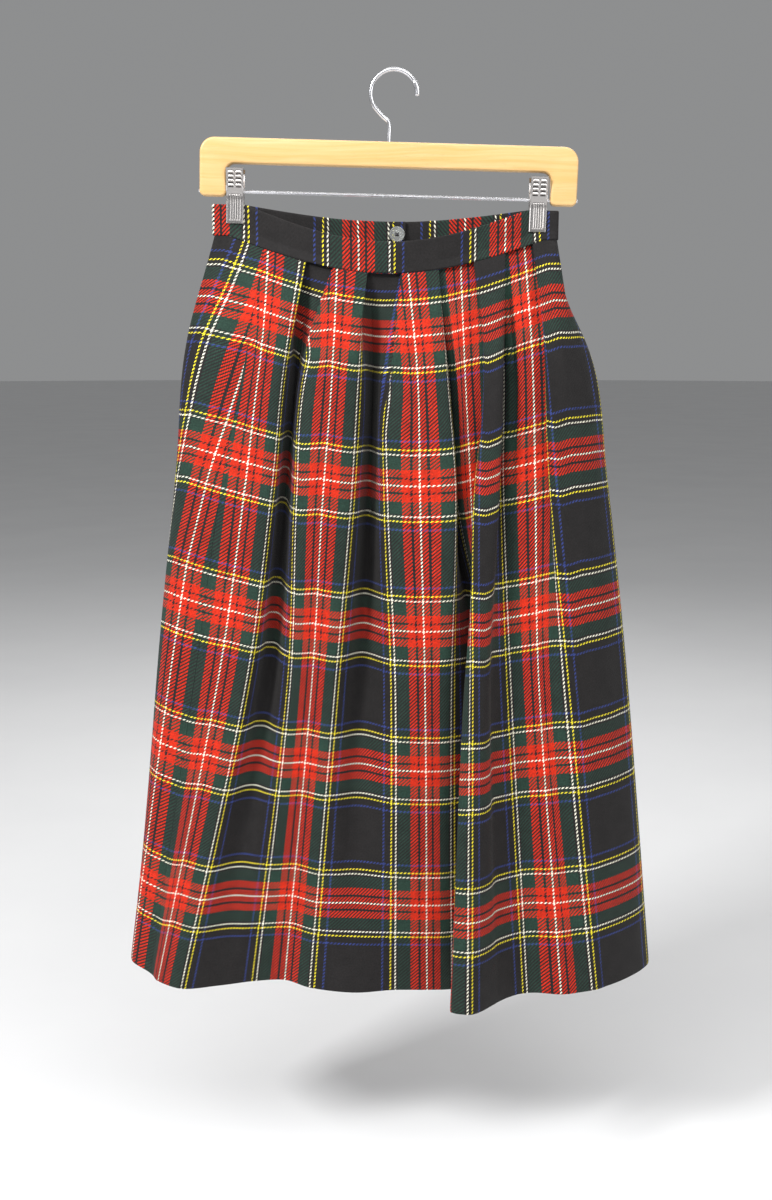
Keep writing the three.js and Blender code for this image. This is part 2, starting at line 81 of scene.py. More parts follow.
def through(stations: Sequence[float], values: np.ndarray, t: np.ndarray) -> np.ndarray:
    """Smooth curve through tabled values.

    A cubic Hermite between neighbouring stations, whose slope at a station is that of the chord between the
    stations on its two sides.

    Args:
        stations: rising places of the table's rows.
        values: one row for each station; further axes are carried along.
        t: places to read.
    Returns:
        Values at t, of shape t.shape + values.shape[1:].
    """
    s0, v0, t = np.asarray(stations, float), np.asarray(values, float), np.asarray(t, float)
    last = len(s0) - 1
    low, high = np.maximum(np.arange(last + 1) - 1, 0), np.minimum(np.arange(last + 1) + 1, last)
    tail = (1,) * (v0.ndim - 1)
    slope = (v0[high] - v0[low]) / (s0[high] - s0[low]).reshape(-1, *tail)
    i = np.clip(np.searchsorted(s0, t, side="left") - 1, 0, last - 1)
    span = s0[i + 1] - s0[i]
    s = ((t - s0[i]) / span).reshape(*t.shape, *tail)
    span = span.reshape(*t.shape, *tail)
    return (
        v0[i] * (1 + 2 * s) * (1 - s) ** 2
        + v0[i + 1] * s * s * (3 - 2 * s)
        + span * (slope[i] * s * (1 - s) ** 2 + slope[i + 1] * s * s * (s - 1))
    )


def smooth(x: np.ndarray) -> np.ndarray:
    """Smooth step: 0 below 0, 1 above 1, 3x^2 - 2x^3 between."""
    x = np.clip(x, 0.0, 1.0)
    return x * x * (3 - 2 * x)


def quarter(x: np.ndarray, least: float = 0.0) -> np.ndarray:
    """Quarter circle: 0 at 0 and 1 at 1, its square kept at or above a least value."""
    return np.sqrt(np.clip(1 - (1 - np.clip(x, 0, 1)) ** 2, least, 1))


def unit(vectors: np.ndarray) -> np.ndarray:
    """Vectors made one long."""
    return vectors / np.linalg.norm(vectors, axis=-1, keepdims=True)


def length_along(path: np.ndarray) -> np.ndarray:
    """Length of a path (n, 3) from its start to each of its points."""
    return np.concatenate([[0], np.cumsum(np.linalg.norm(np.diff(path, axis=0), axis=1))])


def grid_faces(high: int, wide: int) -> np.ndarray:
    """Quads of a grid of points that runs down and then along.

    Args:
        high: rows of points.
        wide: points in a row.
    Returns:
        Array of shape (quads, 4).
    """
    a = (np.arange(high - 1)[:, None] * wide + np.arange(wide - 1)).ravel()
    return np.stack([a, a + wide, a + wide + 1, a + 1], axis=1)


def ring_faces(rings: int, sides: int) -> np.ndarray:
    """Quads between closed rings of points.

    Args:
        rings: number of rings.
        sides: points round each.
    Returns:
        Array of shape (quads, 4).
    """
    k, j = np.arange(sides), np.arange(rings - 1)[:, None] * sides
    after = (k + 1) % sides
    return np.stack([j + k, j + after, j + sides + after, j + sides + k], -1).reshape(-1, 4)


def normals_of(points: np.ndarray) -> np.ndarray:
    """Unit normals of a grid: the cross product of its direction down with its direction along.

    Args:
        points: grid (rows, columns, 3).
    Returns:
        Grid of the same shape.
    """
    n = np.cross(np.gradient(points, axis=0), np.gradient(points, axis=1))
    return n / np.maximum(np.linalg.norm(n, axis=2, keepdims=True), 1e-9)


@dataclass
class Shape:
    """Points, quads and the cloth coordinates of one mesh in the making."""

    points: list[np.ndarray] = field(default_factory=list)
    faces: list[np.ndarray] = field(default_factory=list)
    weave: list[np.ndarray] = field(default_factory=list)

    @property
    def size(self) -> int:
        """Points so far."""
        return sum(len(p) for p in self.points)

    def add(self, points: np.ndarray, faces: np.ndarray, weave: np.ndarray | None = None) -> "Shape":
        """Adds a part whose faces count from its own first point.

        Args:
            points: array (n, 3) in millimetres.
            faces: array (m, 3 or 4).
            weave: array (n, 2) of cloth coordinates, or None.
        Returns:
            The shape itself.
        """
        self.faces.append(np.asarray(faces) + self.size)
        self.points.append(np.asarray(points, float).reshape(-1, 3))
        self.weave.append(np.zeros((len(self.points[-1]), 2)) if weave is None else weave.reshape(-1, 2))
        return self

    def wall(self, outer: np.ndarray, inner: np.ndarray, weave: np.ndarray) -> "Shape":
        """Adds the closed wall between two grids, the outer one facing out.

        Args:
            outer: grid (rows, columns, 3).
            inner: grid of the same shape.
            weave: grid (rows, columns, 2), used for both faces.
        Returns:
            The shape itself.
        """
        high, wide = outer.shape[:2]
        count = high * wide
        number = np.arange(count).reshape(high, wide)
        ring = np.concatenate([number[:, 0], number[-1, 1:], number[-2::-1, -1], number[0, -2:0:-1]])
        back = ring + count
        rim = np.stack([ring, back, np.roll(back, -1), np.roll(ring, -1)], axis=1)
        faces = np.concatenate([grid_faces(high, wide), grid_faces(high, wide)[:, ::-1] + count, rim])
        return self.add(np.stack([outer, inner]), faces, np.stack([weave, weave]))

    def tube(self, path: np.ndarray, radius: np.ndarray | float, across: np.ndarray, sides: int = 16) -> "Shape":
        """Adds a round bar along a path.

        At each point a circle stands square to the path, and both ends close on a point.

        Args:
            path: points (n, 3).
            radius: one radius, or one for each point.
            across: direction (3,) or (n, 3) that is nowhere along the path.
            sides: points round the circle.
        Returns:
            The shape itself.
        """
        tangent = unit(np.gradient(path, axis=0))
        b = unit(np.cross(tangent, np.broadcast_to(across, path.shape)))
        c = np.cross(b, tangent)
        turn = np.arange(sides) * 2 * math.pi / sides
        cos, sin = np.cos(turn)[None, :, None], np.sin(turn)[None, :, None]
        r = np.broadcast_to(np.asarray(radius, float), (len(path),))[:, None, None]
        rings = path[:, None] + r * (b[:, None] * cos + c[:, None] * sin)
        n, k = len(path), np.arange(sides)
        after, last = (k + 1) % sides, (n - 1) * sides
        caps = np.concatenate([np.stack([after, k, np.full(sides, n * sides)], 1),
                               np.stack([last + k, last + after, np.full(sides, n * sides + 1)], 1)])
        weave = np.stack([np.tile(turn / (2 * math.pi), n), np.repeat(length_along(path), sides)], 1)
        self.faces.append(caps + self.size)
        return self.add(np.concatenate([rings.reshape(-1, 3), path[:1], path[-1:]]), ring_faces(n, sides),
                        np.concatenate([weave, weave[:1], weave[-1:]]))

    def piece(self, name: str, material: Material, slot: str, crisp: float = 50.0) -> Object:
        """Makes the mesh object, in metres, riding on the part's body.

        Args:
            name: the object's name.
            material: its finish.
            slot: a material slot's name; not used.
            crisp: edges bent more than this many degrees stay sharp.
        Returns:
            The new object.
        """
        mesh = bpy.data.meshes.new(name)
        faces = [tuple(f) for block in self.faces for f in block.tolist()]
        mesh.from_pydata((np.concatenate(self.points) * MM).tolist(), [], faces)
        layer = mesh.uv_layers.new(name="weave")
        corner = np.zeros(len(mesh.loops), np.int32)
        mesh.loops.foreach_get("vertex_index", corner)
        layer.data.foreach_set("uv", np.concatenate(self.weave)[corner].astype(np.float32).ravel())
        mesh.polygons.foreach_set("use_smooth", np.ones(len(mesh.polygons), bool))
        mesh.update()
        mesh.set_sharp_from_angle(angle=math.radians(crisp))
        obj = bpy.data.objects.new(name, mesh)
        bpy.context.scene.collection.objects.link(obj)
        mesh.materials.append(material)
        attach(obj, BODY)
        LOG.info("%s: %d faces", name, len(mesh.polygons))
        return obj


def refinish(node: Object, material: Material) -> None:
    """Gives a CAD object's own mesh another material."""
    node.data.materials.clear()
    node.data.materials.append(material)


# ---- materials


def srgb(*display: float) -> tuple[float, ...]:
    """Linear colour with full alpha from three display values of 0 to 255."""
    parts = (c / 255 for c in display)
    return *(c / 12.92 if c <= 0.04 else ((c + 0.055) / 1.055) ** 2.4 for c in parts), 1.0


class Graph:
    """Adds nodes to one tree and joins them."""

    def __init__(self, tree: Tree) -> None:
        """Keeps the tree."""
        self.tree = tree

    def put(self, socket: Socket, value: object) -> None:
        """Sets an input, or joins it to another node's output.

        Args:
            socket: the input.
            value: a value or an output socket.
        """
        if isinstance(value, Socket):
            self.tree.links.new(value, socket)
        else:
            socket.default_value = value

    def node(self, kind: str, inputs: dict | None = None, **settings) -> Node:
        """Adds a node.

        Args:
            kind: its type name without the ShaderNode prefix.
            inputs: values or sockets by input name or number.
            settings: properties of the node.
        Returns:
            The node.
        """
        node = self.tree.nodes.new("ShaderNode" + kind)
        for key, value in settings.items():
            setattr(node, key, value)
        for key, value in (inputs or {}).items():
            self.put(node.inputs[key], value)
        return node

    def cloth_place(self) -> Socket:
        """The mesh's own cloth coordinates."""
        return self.node("UVMap", uv_map="weave").outputs[0]

    def place(self) -> Socket:
        """The place on the object, in metres."""
        return self.node("TexCoord").outputs["Object"]

    def math(self, operation: str, *values: object) -> Socket:
        """One Math node's result."""
        return self.node("Math", dict(enumerate(values)), operation=operation).outputs[0]

    def vector(self, operation: str, *values: object) -> Socket:
        """One Vector Math node's vector."""
        return self.node("VectorMath", dict(enumerate(values)), operation=operation).outputs[0]

    def times(self, a: object, b: object) -> Socket:
        """Product of two values."""
        return self.math("MULTIPLY", a, b)

    def mix(self, factor: object, a: object, b: object, blend: str = "MIX") -> Socket:
        """Colour a mixed with colour b.

        Args:
            factor: share of b.
            a: the first colour.
            b: the second colour.
            blend: the way they mix.
        Returns:
            The mixed colour.
        """
        node = self.node("Mix", data_type="RGBA", blend_type=blend)
        inputs = {socket.identifier: socket for socket in node.inputs}
        for key, value in (("Factor_Float", factor), ("A_Color", a), ("B_Color", b)):
            self.put(inputs[key], value)
        return next(s for s in node.outputs if s.identifier == "Result_Color")

    def bands(self, factor: object, stops: Sequence[tuple]) -> Socket:
        """Colour of a ramp that changes at a line, without a blend.

        Args:
            factor: socket from 0 to 1.
            stops: (place, colour) pairs, rising.
        Returns:
            The ramp's colour socket.
        """
        node = self.node("ValToRGB", {0: factor})
        band = node.color_ramp
        band.interpolation = "CONSTANT"
        for i, (place, colour) in enumerate(stops):
            stop = band.elements[i] if i < 2 else band.elements.new(place)
            stop.position, stop.color = place, colour
        return node.outputs[0]

    def noise(self, vector: Socket, scale: object, detail: float = 3.0, rough: float = 0.55) -> Socket:
        """Noise from 0 to 1 at a vector."""
        inputs = {"Vector": vector, "Scale": scale, "Detail": detail, "Roughness": rough}
        return self.node("TexNoise", inputs).outputs[0]

    def span(self, value: object, low: float, high: float, a: float = 0.0, b: float = 1.0) -> Socket:
        """Value carried from a..b to low..high, clamped."""
        return self.node("MapRange", {0: value, 1: a, 2: b, 3: low, 4: high}).outputs[0]

    def group(self, tree: Tree, **inputs) -> dict[str, Socket]:
        """Adds a group node.

        Args:
            tree: the group.
            inputs: values or sockets by input name.
        Returns:
            Its output sockets by name.
        """
        node = self.node("Group")
        node.node_tree = tree
        for key, value in inputs.items():
            self.put(node.inputs[key], value)
        return {socket.name: socket for socket in node.outputs}


def new_group(name: str, inputs: dict[str, str], outputs: dict[str, str]) -> tuple[Graph, Node, Node]:
    """Starts a shader node group.

    Args:
        name: its name.
        inputs: socket type by name.
        outputs: socket type by name.
    Returns:
        The graph and its input and output nodes.
    """
    tree = bpy.data.node_groups.new(name, "ShaderNodeTree")
    for way, sockets in (("INPUT", inputs), ("OUTPUT", outputs)):
        for key, kind in sockets.items():
            tree.interface.new_socket(key, in_out=way, socket_type="NodeSocket" + kind)
    return Graph(tree), tree.nodes.new("NodeGroupInput"), tree.nodes.new("NodeGroupOutput")


def twill_group() -> Tree:
    """2/2 twill: which yarn is on top and how high it stands.

    A warp yarn lies on top where the sum of the yarn numbers both ways, modulo 4, is under 2. A yarn's height is
    half a sine across it, and its slub is noise drawn out along it.

    Returns:
        The group.
    """
    g, start, end = new_group("twill weave", {"Place": "Vector", "Yarns": "Float"},
                              {"Warp Over": "Float", "Height": "Float", "Slub": "Float"})
    scaled = g.node("VectorMath", {0: start.outputs["Place"], "Scale": start.outputs["Yarns"]}, operation="SCALE")
    u, v = g.node("SeparateXYZ", {0: scaled.outputs[0]}).outputs[:2]
    number = [g.math("FLOOR", c) for c in (u, v)]
    warp = g.math("LESS_THAN", g.math("FLOORED_MODULO", g.math("ADD", *number), 4.0), 2.0)
    weft = g.math("SUBTRACT", 1.0, warp)
    swell = [g.math("SINE", g.times(g.math("FRACT", c), math.pi)) for c in (u, v)]
    slub = [g.noise(g.node("CombineXYZ", {0: yarn, 1: g.times(along, 0.06), 2: seed}).outputs[0], 1.0, 2.0, 0.5)
            for yarn, along, seed in ((number[0], v, 0.0), (number[1], u, 7.0))]
    g.put(end.inputs["Warp Over"], warp)
    for key, (on_warp, on_weft) in (("Height", swell), ("Slub", slub)):
        g.put(end.inputs[key], g.math("ADD", g.times(warp, on_warp), g.times(weft, on_weft)))
    return g.tree


def scuff_group() -> Tree:
    """Fine scratches and smears: long thin noise in two directions over slow blotches.

    Returns:
        The group.
    """
    g, start, end = new_group("handling marks", {"Place": "Vector", "Fineness": "Float"},
                              {"Marks": "Float", "Blotch": "Float"})
    place, fine = start.outputs["Place"], start.outputs["Fineness"]
    runs = [g.span(g.noise(g.vector("MULTIPLY", place, stretch), fine, 4.0, 0.5), 0.0, 1.0, 0.52, 0.72)
            for stretch in ((1.0, 0.08, 0.3), (0.1, 1.0, 0.5))]
    g.put(end.inputs["Marks"], g.math("MAXIMUM", *runs))
    g.put(end.inputs["Blotch"], g.noise(place, g.times(fine, 0.05), 3.0, 0.5))
    return g.tree


@dataclass(frozen=True)
class Surface:
    """What varies over a finish: colour, roughness, and a relief whose depth is in metres."""

    colour: object
    rough: object
    height: object = None
    depth: float = 0.0
    strength: float = 1.0


class Finish:
    """A Principled BSDF with plain values for some sockets and nodes for what varies over the surface."""

    values: ClassVar[dict[str, float]] = {}

    def vary(self, g: Graph) -> Surface:
        """What varies, worked out by nodes in g."""
        raise NotImplementedError

    def make(self, name: str) -> Material:
        """Makes the material; a relief goes through a Bump node.

        Args:
            name: its name.
        Returns:
            The material.
        """
        material = bpy.data.materials.new(name)
        material.use_nodes = True
        g = Graph(material.node_tree)
        surface = self.vary(g)
        feeds = {**self.values, "Base Color": surface.colour, "Roughness": surface.rough}
        if surface.height is not None:
            relief = {"Height": surface.height, "Distance": surface.depth, "Strength": surface.strength}
            feeds["Normal"] = g.node("Bump", relief).outputs[0]
        for key, value in feeds.items():
            g.put(g.tree.nodes["Principled BSDF"].inputs[key], value)
        return material


@dataclass(frozen=True)
class Tartan(Finish):
    """Worsted twill in a symmetrical sett, the same in warp and weft.

    Stripes are counted from the middle of the white line in the red, in setts, and mirrored at half a sett.
    """

    twill: Tree
    yarns: float = 156.0
    white: tuple = srgb(240, 236, 216)
    red: tuple = srgb(200, 40, 11)
    black: tuple = srgb(31, 29, 29)
    green: tuple = srgb(34, 58, 48)
    yellow: tuple = srgb(234, 216, 46)
    blue: tuple = srgb(48, 62, 122)
    values = {"Sheen Weight": 0.06, "Sheen Roughness": 0.4, "IOR": 1.4, "Specular IOR Level": 0.3}

    def stripes(self) -> list[tuple]:
        """Stops (place from 0 to 1 over half a sett, colour)."""
        rows = ((0, self.white), (0.0048, self.red), (0.042, self.black), (0.058, self.red), (0.108, self.green),
                (0.19, self.black), (0.2025, self.white), (0.2135, self.black), (0.2355, self.yellow),
                (0.2475, self.black), (0.292, self.blue), (0.308, self.black))
        return [(2 * place, colour) for place, colour in rows]

    def sett(self) -> Tree:
        """Group that gives a yarn's colour from its place in setts.

        Returns:
            The group.
        """
        g, start, end = new_group("tartan sett", {"Place": "Float"}, {"Colour": "Color"})
        half = g.times(g.math("PINGPONG", start.outputs["Place"], 0.5), 2.0)
        g.put(end.inputs["Colour"], g.bands(half, self.stripes()))
        return g.tree

    def vary(self, g: Graph) -> Surface:
        """Two setts crossed by the twill, yarn by yarn, shaded by slubs, fuzz, painted shade between the yarns from
        the weave, a slow mottle of painted sheen as well as wear, and a finer mottle of wear.

        Args:
            g: the material's graph.
        Returns:
            The cloth's surface.
        """
        place, sett = g.cloth_place(), self.sett()
        ways = g.node("SeparateXYZ", {0: place}).outputs[:2]
        warp, weft = (g.group(sett, Place=way)["Colour"] for way in ways)
        twill = g.group(self.twill, Place=place, Yarns=self.yarns)
        fuzz = g.noise(place, 420.0, 4.0, 0.7)
        shade = g.span(twill["Slub"], 0.8, 1.18, 0.25, 0.75)
        # painted shade: the weave's height darkens each yarn towards its edges
        for part in (g.span(fuzz, 0.86, 1.14, 0.25, 0.75), g.span(twill["Height"], 0.55, 1.08),
                     # the slow noise is painted sheen bloom as well as wear; the fast one is a finer mottle
                     g.span(g.noise(place, 11.0, 4.0), 0.86, 1.16, 0.3, 0.7),
                     g.span(g.noise(place, 85.0, 2.0), 0.76, 1.24, 0.3, 0.7)):
            shade = g.times(shade, part)
        tint = g.node("CombineColor", {0: shade, 1: shade, 2: shade}).outputs[0]
        colour = g.mix(1.0, g.mix(twill["Warp Over"], weft, warp), tint, "MULTIPLY")
        height = g.math("ADD", twill["Height"], g.times(fuzz, 0.5))
        return Surface(colour, g.span(fuzz, 0.62, 0.86), height, 0.00016, 0.8)


@dataclass(frozen=True)
class PaleWood(Finish):
    """Clear-lacquered pale hardwood, grain along X."""

    scuffs: Tree
    light: tuple = srgb(220, 184, 132)
    dark: tuple = srgb(206, 164, 98)
    pore: tuple = srgb(150, 108, 60)
    stain: tuple = srgb(226, 186, 120)
    values = {"Coat Weight": 0.15, "Coat Roughness": 0.25}

    def vary(self, g: Graph) -> Surface:
        """Grain from stretched noise bent by a slow wave, short pores, and handled lacquer.

        Args:
            g: the material's graph.
        Returns:
            The wood's surface.
        """
        place = g.place()
        bend = g.noise(g.vector("MULTIPLY", place, (6.0, 6.0, 20.0)), 1.0, 2.0)
        bent = g.vector("ADD", g.vector("MULTIPLY", place, (7.0, 90.0, 260.0)),
                        g.node("CombineXYZ", {2: g.times(bend, 5.0)}).outputs[0])
        grain = g.noise(bent, 1.0, 5.0, 0.6)
        pores = g.span(g.noise(g.vector("MULTIPLY", place, (70.0, 900.0, 1500.0)), 1.0, 2.0), 0.0, 1.0, 0.62, 0.75)
        marks = g.group(self.scuffs, Place=place, Fineness=160.0)
        colour = g.mix(g.span(grain, 0.0, 1.0, 0.3, 0.7), self.light, self.dark)
        colour = g.mix(g.times(pores, 0.22), colour, self.pore)
        colour = g.mix(g.times(marks["Blotch"], 0.16), colour, self.stain)
        return Surface(colour, g.span(marks["Marks"], 0.36, 0.5), g.math("SUBTRACT", grain, pores), 0.00025, 0.35)


@dataclass(frozen=True)
class Chrome(Finish):
    """Bright plated steel; where it has shaded grooves, painted shade lies in what the mesh marks as sunk."""

    scuffs: Tree
    shaded_grooves: bool = False
    colour: tuple = srgb(242, 242, 245)
    dull: tuple = srgb(206, 206, 212)
    # painted shade: dark grey for the gaps and grooves
    groove_shade: tuple = srgb(52, 50, 48)
    values = {"Metallic": 1.0}

    def vary(self, g: Graph) -> Surface:
        """Mirror metal with hairline scratches and duller blotches.

        Args:
            g: the material's graph.
        Returns:
            The metal's surface.
        """
        marks = g.group(self.scuffs, Place=g.place(), Fineness=900.0)
        face = g.mix(g.times(marks["Blotch"], 0.6), self.colour, self.dull)
        if self.shaded_grooves:
            # painted shade: darkens the gaps and grooves that the mesh marks as sunk
            sunk = g.node("SeparateXYZ", {0: g.cloth_place()}).outputs[0]
            face = g.mix(g.span(sunk, 0.0, 0.94, 0.1, 0.9), face, self.groove_shade)
        return Surface(face, g.span(marks["Marks"], 0.24, 0.3), marks["Marks"], 0.000002, 0.2)


@dataclass(frozen=True)
class ClearPlastic(Finish):
    """Clear button stock, a little cloudy."""

    scuffs: Tree
    clear: tuple = srgb(236, 238, 236)
    cloudy: tuple = srgb(206, 210, 206)
    values = {"Transmission Weight": 0.75, "IOR": 1.5}

    def vary(self, g: Graph) -> Surface:
        """Fine scratches over cloudy blotches.

        Args:
            g: the material's graph.
        Returns:
            The plastic's surface.
        """
        marks = g.group(self.scuffs, Place=g.place(), Fineness=1500.0)
        colour = g.mix(marks["Blotch"], self.clear, self.cloudy)
        return Surface(colour, g.span(marks["Marks"], 0.05, 0.22), marks["Marks"], 0.00002, 0.5)


@dataclass(frozen=True)
class Thread(Finish):
    """Black sewing thread of two plies."""

    colour: tuple = srgb(28, 27, 30)
    # painted highlight for the tops of the plies
    crest_highlight: tuple = srgb(70, 68, 74)
    values = {"Sheen Weight": 0.2}

    def vary(self, g: Graph) -> Surface:
        """Plies as a wave that winds round the thread, with painted highlight on the tops of the plies.

        Args:
            g: the material's graph.
        Returns:
            The thread's surface.
        """
        turn, along = g.node("SeparateXYZ", {0: g.cloth_place()}).outputs[:2]
        ply = g.math("SINE", g.times(g.math("ADD", turn, g.times(along, 1.6)), 4 * math.pi))
        colour = g.mix(g.span(ply, 0.0, 1.0, -1.0, 1.0), self.colour, self.crest_highlight)
        return Surface(colour, g.span(ply, 0.55, 0.75, -1.0, 1.0), ply, 0.00006, 0.6)


@dataclass(frozen=True)
class PaleFloor(Finish):
    """A pale floor, faintly mottled."""

    light: tuple = srgb(226, 226, 226)
    dark: tuple = srgb(216, 216, 217)

    def vary(self, g: Graph) -> Surface:
        """Slow mottling in colour and roughness."""
        mottle = g.noise(g.place(), 3.0, 4.0)
        return Surface(g.mix(mottle, self.light, self.dark), g.span(mottle, 0.7, 0.85))


# ---- the cloth's form


@dataclass(frozen=True)
class LoopEdge:
    """One edge of the waistband seen from above: two nearly flat sides joined by tight round ends.

    half: half the width over which the sides swell; spread: radius of the ends; front, back: how far the sides
    swell; z, slope: height at the middle and its change along X; dip_front, dip_back: how far the sides sag.
    """

    half: float
    spread: float
    front: float
    back: float
    z: float
    slope: float
    dip_front: float
    dip_back: float


@dataclass(frozen=True)
class WaistLoop:
    """The waistband's loop; run is counted from its left end, along the front and round."""

    left: float = -171.5
    right: float = 155.5
    centre: float = -7.5
    top: LoopEdge = LoopEdge(133.5, 1.35, 26.6, 5.2, -122.6, -0.0186, 33.0, 12.5)
    seam: LoopEdge = LoopEdge(150.0, 3.6, 24.4, 4.4, -150.6, -0.0138, 34.0, 15.0)

    @property
    def front_run(self) -> float:
        """Length of the front, seen from the front."""
        return self.right - self.left

    def point(self, edge: LoopEdge, run: np.ndarray) -> np.ndarray:
        """Points of an edge: a cosine swell to front and back, with a quarter circle at each end.

        Args:
            edge: the edge.
            run: places along it.
        Returns:
            Array (n, 3).
        """
        run = np.asarray(run, float)
        front = (run >= 0) & (run <= self.front_run)
        x = np.where(front, self.left + run, np.where(run < 0, self.left - run, self.right - (run - self.front_run)))
        swell = np.cos(np.minimum(np.abs(x - self.centre) / edge.half, 1) * math.pi / 2)
        rounding = quarter(np.minimum(x - self.left, self.right - x) / edge.spread)
        out = edge.spread * rounding + np.where(front, edge.front, edge.back) * swell
        z = edge.z + edge.slope * x - np.where(front, edge.dip_front, edge.dip_back) * swell
        return np.stack([x, np.where(front, -out, out), z], -1)

    def normal(self, edge: LoopEdge, run: np.ndarray) -> np.ndarray:
        """Level unit vectors (n, 3) that point out of the loop."""
        side = self.point(edge, run + 0.4) - self.point(edge, run - 0.4)
        return unit(np.stack([side[:, 1], -side[:, 0], np.zeros(len(side))], 1))
# Columns: cloth at the left edge, where the floor starts and ends, cloth at the right edge, run of both edges.
PLEATS = np.array([
    (-2.33, -2.101, -1.999, -1.77, -127.5, -113.1),
    (-1.58, -1.351, -1.249, -1.02, -86.3, -71.9),
    (0.25, 0.53, 0.7, 0.97, 88.2, 113.9),
    (1.18, 1.47, 1.7, 1.95, 146.2, 178.5),
    (2.2, 2.84, 3.088, 3.36, 213.2, 247.1),
    (3.574, 3.859, 4.05, 4.33, 276.4, 303.5),
    (5.2, 5.52, 5.61, 5.93, 408.6, 421.1),
    (6.15, 6.48, 6.57, 6.9, 452.1, 464.5),
])
LEVELS = (0.0, 0.14, 0.3, 0.56, 1.0)
# Columns: cloth place in setts, x at hip, thigh, knee and hem, distance in front of the hanger's plane at the same.
FOLDS = np.array([
    (-2.465, -26, -24, -20, -16, -34, -36, -38, -40),
    (-2.05, -68, -71, -73, -77, -8, -12, -20, -28),
    (-1.68, -108, -114, -119, -127, -37, -40, -43, -46),
    (-1.3, -140, -150, -160, -174, -6, -10, -16, -24),
    (-0.9, -168, -182, -200, -224, -36, -38, -41, -44),
    (-0.65, -195, -209, -229, -253, -16, -18, -24, -30),
    (-0.5, -199, -212, -237, -270, 4, 2, -4, -14),
    (-0.33, -172, -188, -221, -273, 24, 25, 21, 9),
    (-0.165, -140.3, -164.5, -195, -250, 31, 35, 34, 28),
    (0, -125.5, -141.3, -171, -240, 38, 44, 46, 44),
    (0.22, -103.3, -115.7, -142.3, -213, 40, 48, 56, 60),
    (0.5, -93.5, -104, -122, -177, 8, 15, 31, 55),
    (0.78, -83.6, -92.9, -101.5, -141, 40, 48, 52, 47),
    (1, -58.2, -67.3, -79.7, -110.5, 44, 52, 52, 46),
    (1.22, -32.9, -39.8, -56, -83, 42, 50, 56, 62),
    (1.5, -20, -24, -30, -40, 9, 15, 32, 70),
    (1.78, -6.1, -7, 0.3, 0, 42, 50, 58, 62),
    (2, 22.2, 24.8, 30.3, 33.8, 46, 54, 60, 60),
    (2.22, 50.3, 58.9, 57, 60, 44, 54, 58, 56),
    (2.55, 40, 49, 87, 96, 11, 13, 30, 36),
    (2.72, 48, 57, 96, 94, 20, 24, 40, 49),
    (2.88, 59, 66, 93, 78, 36, 40, 56, 68),
    (3, 67, 73.5, 81, 64, 37, 42, 70, 86),
    (3.1, 80, 84, 67.2, 55.9, 36, 41, 80, 98),
    (3.22, 90, 76, 73, 74, 38, 52, 84, 103),
    (3.3, 84, 80.5, 80.7, 83.6, 46, 58, 84, 99),
    (3.45, 96, 95, 92, 99, 49, 57, 75, 84),
    (3.55, 102.5, 100, 93, 107, 45, 52, 65, 76),
    (3.64, 100, 98, 98, 116, 32, 36, 58, 69),
    (3.73, 99, 101, 107, 127, 18, 28, 51, 63),
    (3.85, 112, 112, 121, 143, 28, 36, 48, 61),
    (4, 130.4, 134.9, 140.9, 168.6, 34, 40, 52, 66),
    (4.12, 147, 150, 152, 186, 35, 42, 56, 64),
    (4.24, 141, 147, 168, 205, 44, 50, 59, 59),
    (4.32, 143, 156, 178, 214, 48, 53, 57, 54),
    (4.5, 163, 178, 200, 236, 40, 44, 46, 40),
    (4.68, 181, 200, 224, 258, 24, 26, 25, 20),
    (4.82, 188, 208.5, 233.5, 268, 6, 4, 4, 2),
    (5, 184, 205, 230, 262, -18, -20, -20, -22),
    (5.25, 158, 179, 203, 232, -37, -39, -41, -42),
    (5.65, 130, 147, 165, 184, -5, -10, -16, -22),
    (6.03, 99, 112, 124, 137, -38, -40, -43, -46),
    (6.42, 64, 72, 78, 86, -7, -12, -20, -26),
    (6.8, 24, 28, 32, 36, -36, -38, -42, -44),
    (7.205, -26, -24, -20, -16, -34, -36, -38, -40),
])
# Columns: cloth place in setts, height of the hem.
HEM = np.array([(-2.465, -878), (-0.9, -876), (-0.33, -882), (-0.165, -888), (0.2, -889), (1, -886), (2, -890),
                (3.2, -895), (4, -892), (4.8, -886), (6, -880), (7.205, -878)])
# Pressed edges that travel. Columns: a line of the face beside the edge, the edge at the waist and where it ends,
# the last hidden line, how far down it ends, how much the face narrows by then.
TRAVELS = np.array([
    (1.02, 0.97, 0.79, 0.70, 0.085, 0.86),
    (2.02, 1.95, 1.79, 1.70, 0.14, 0.9),
])
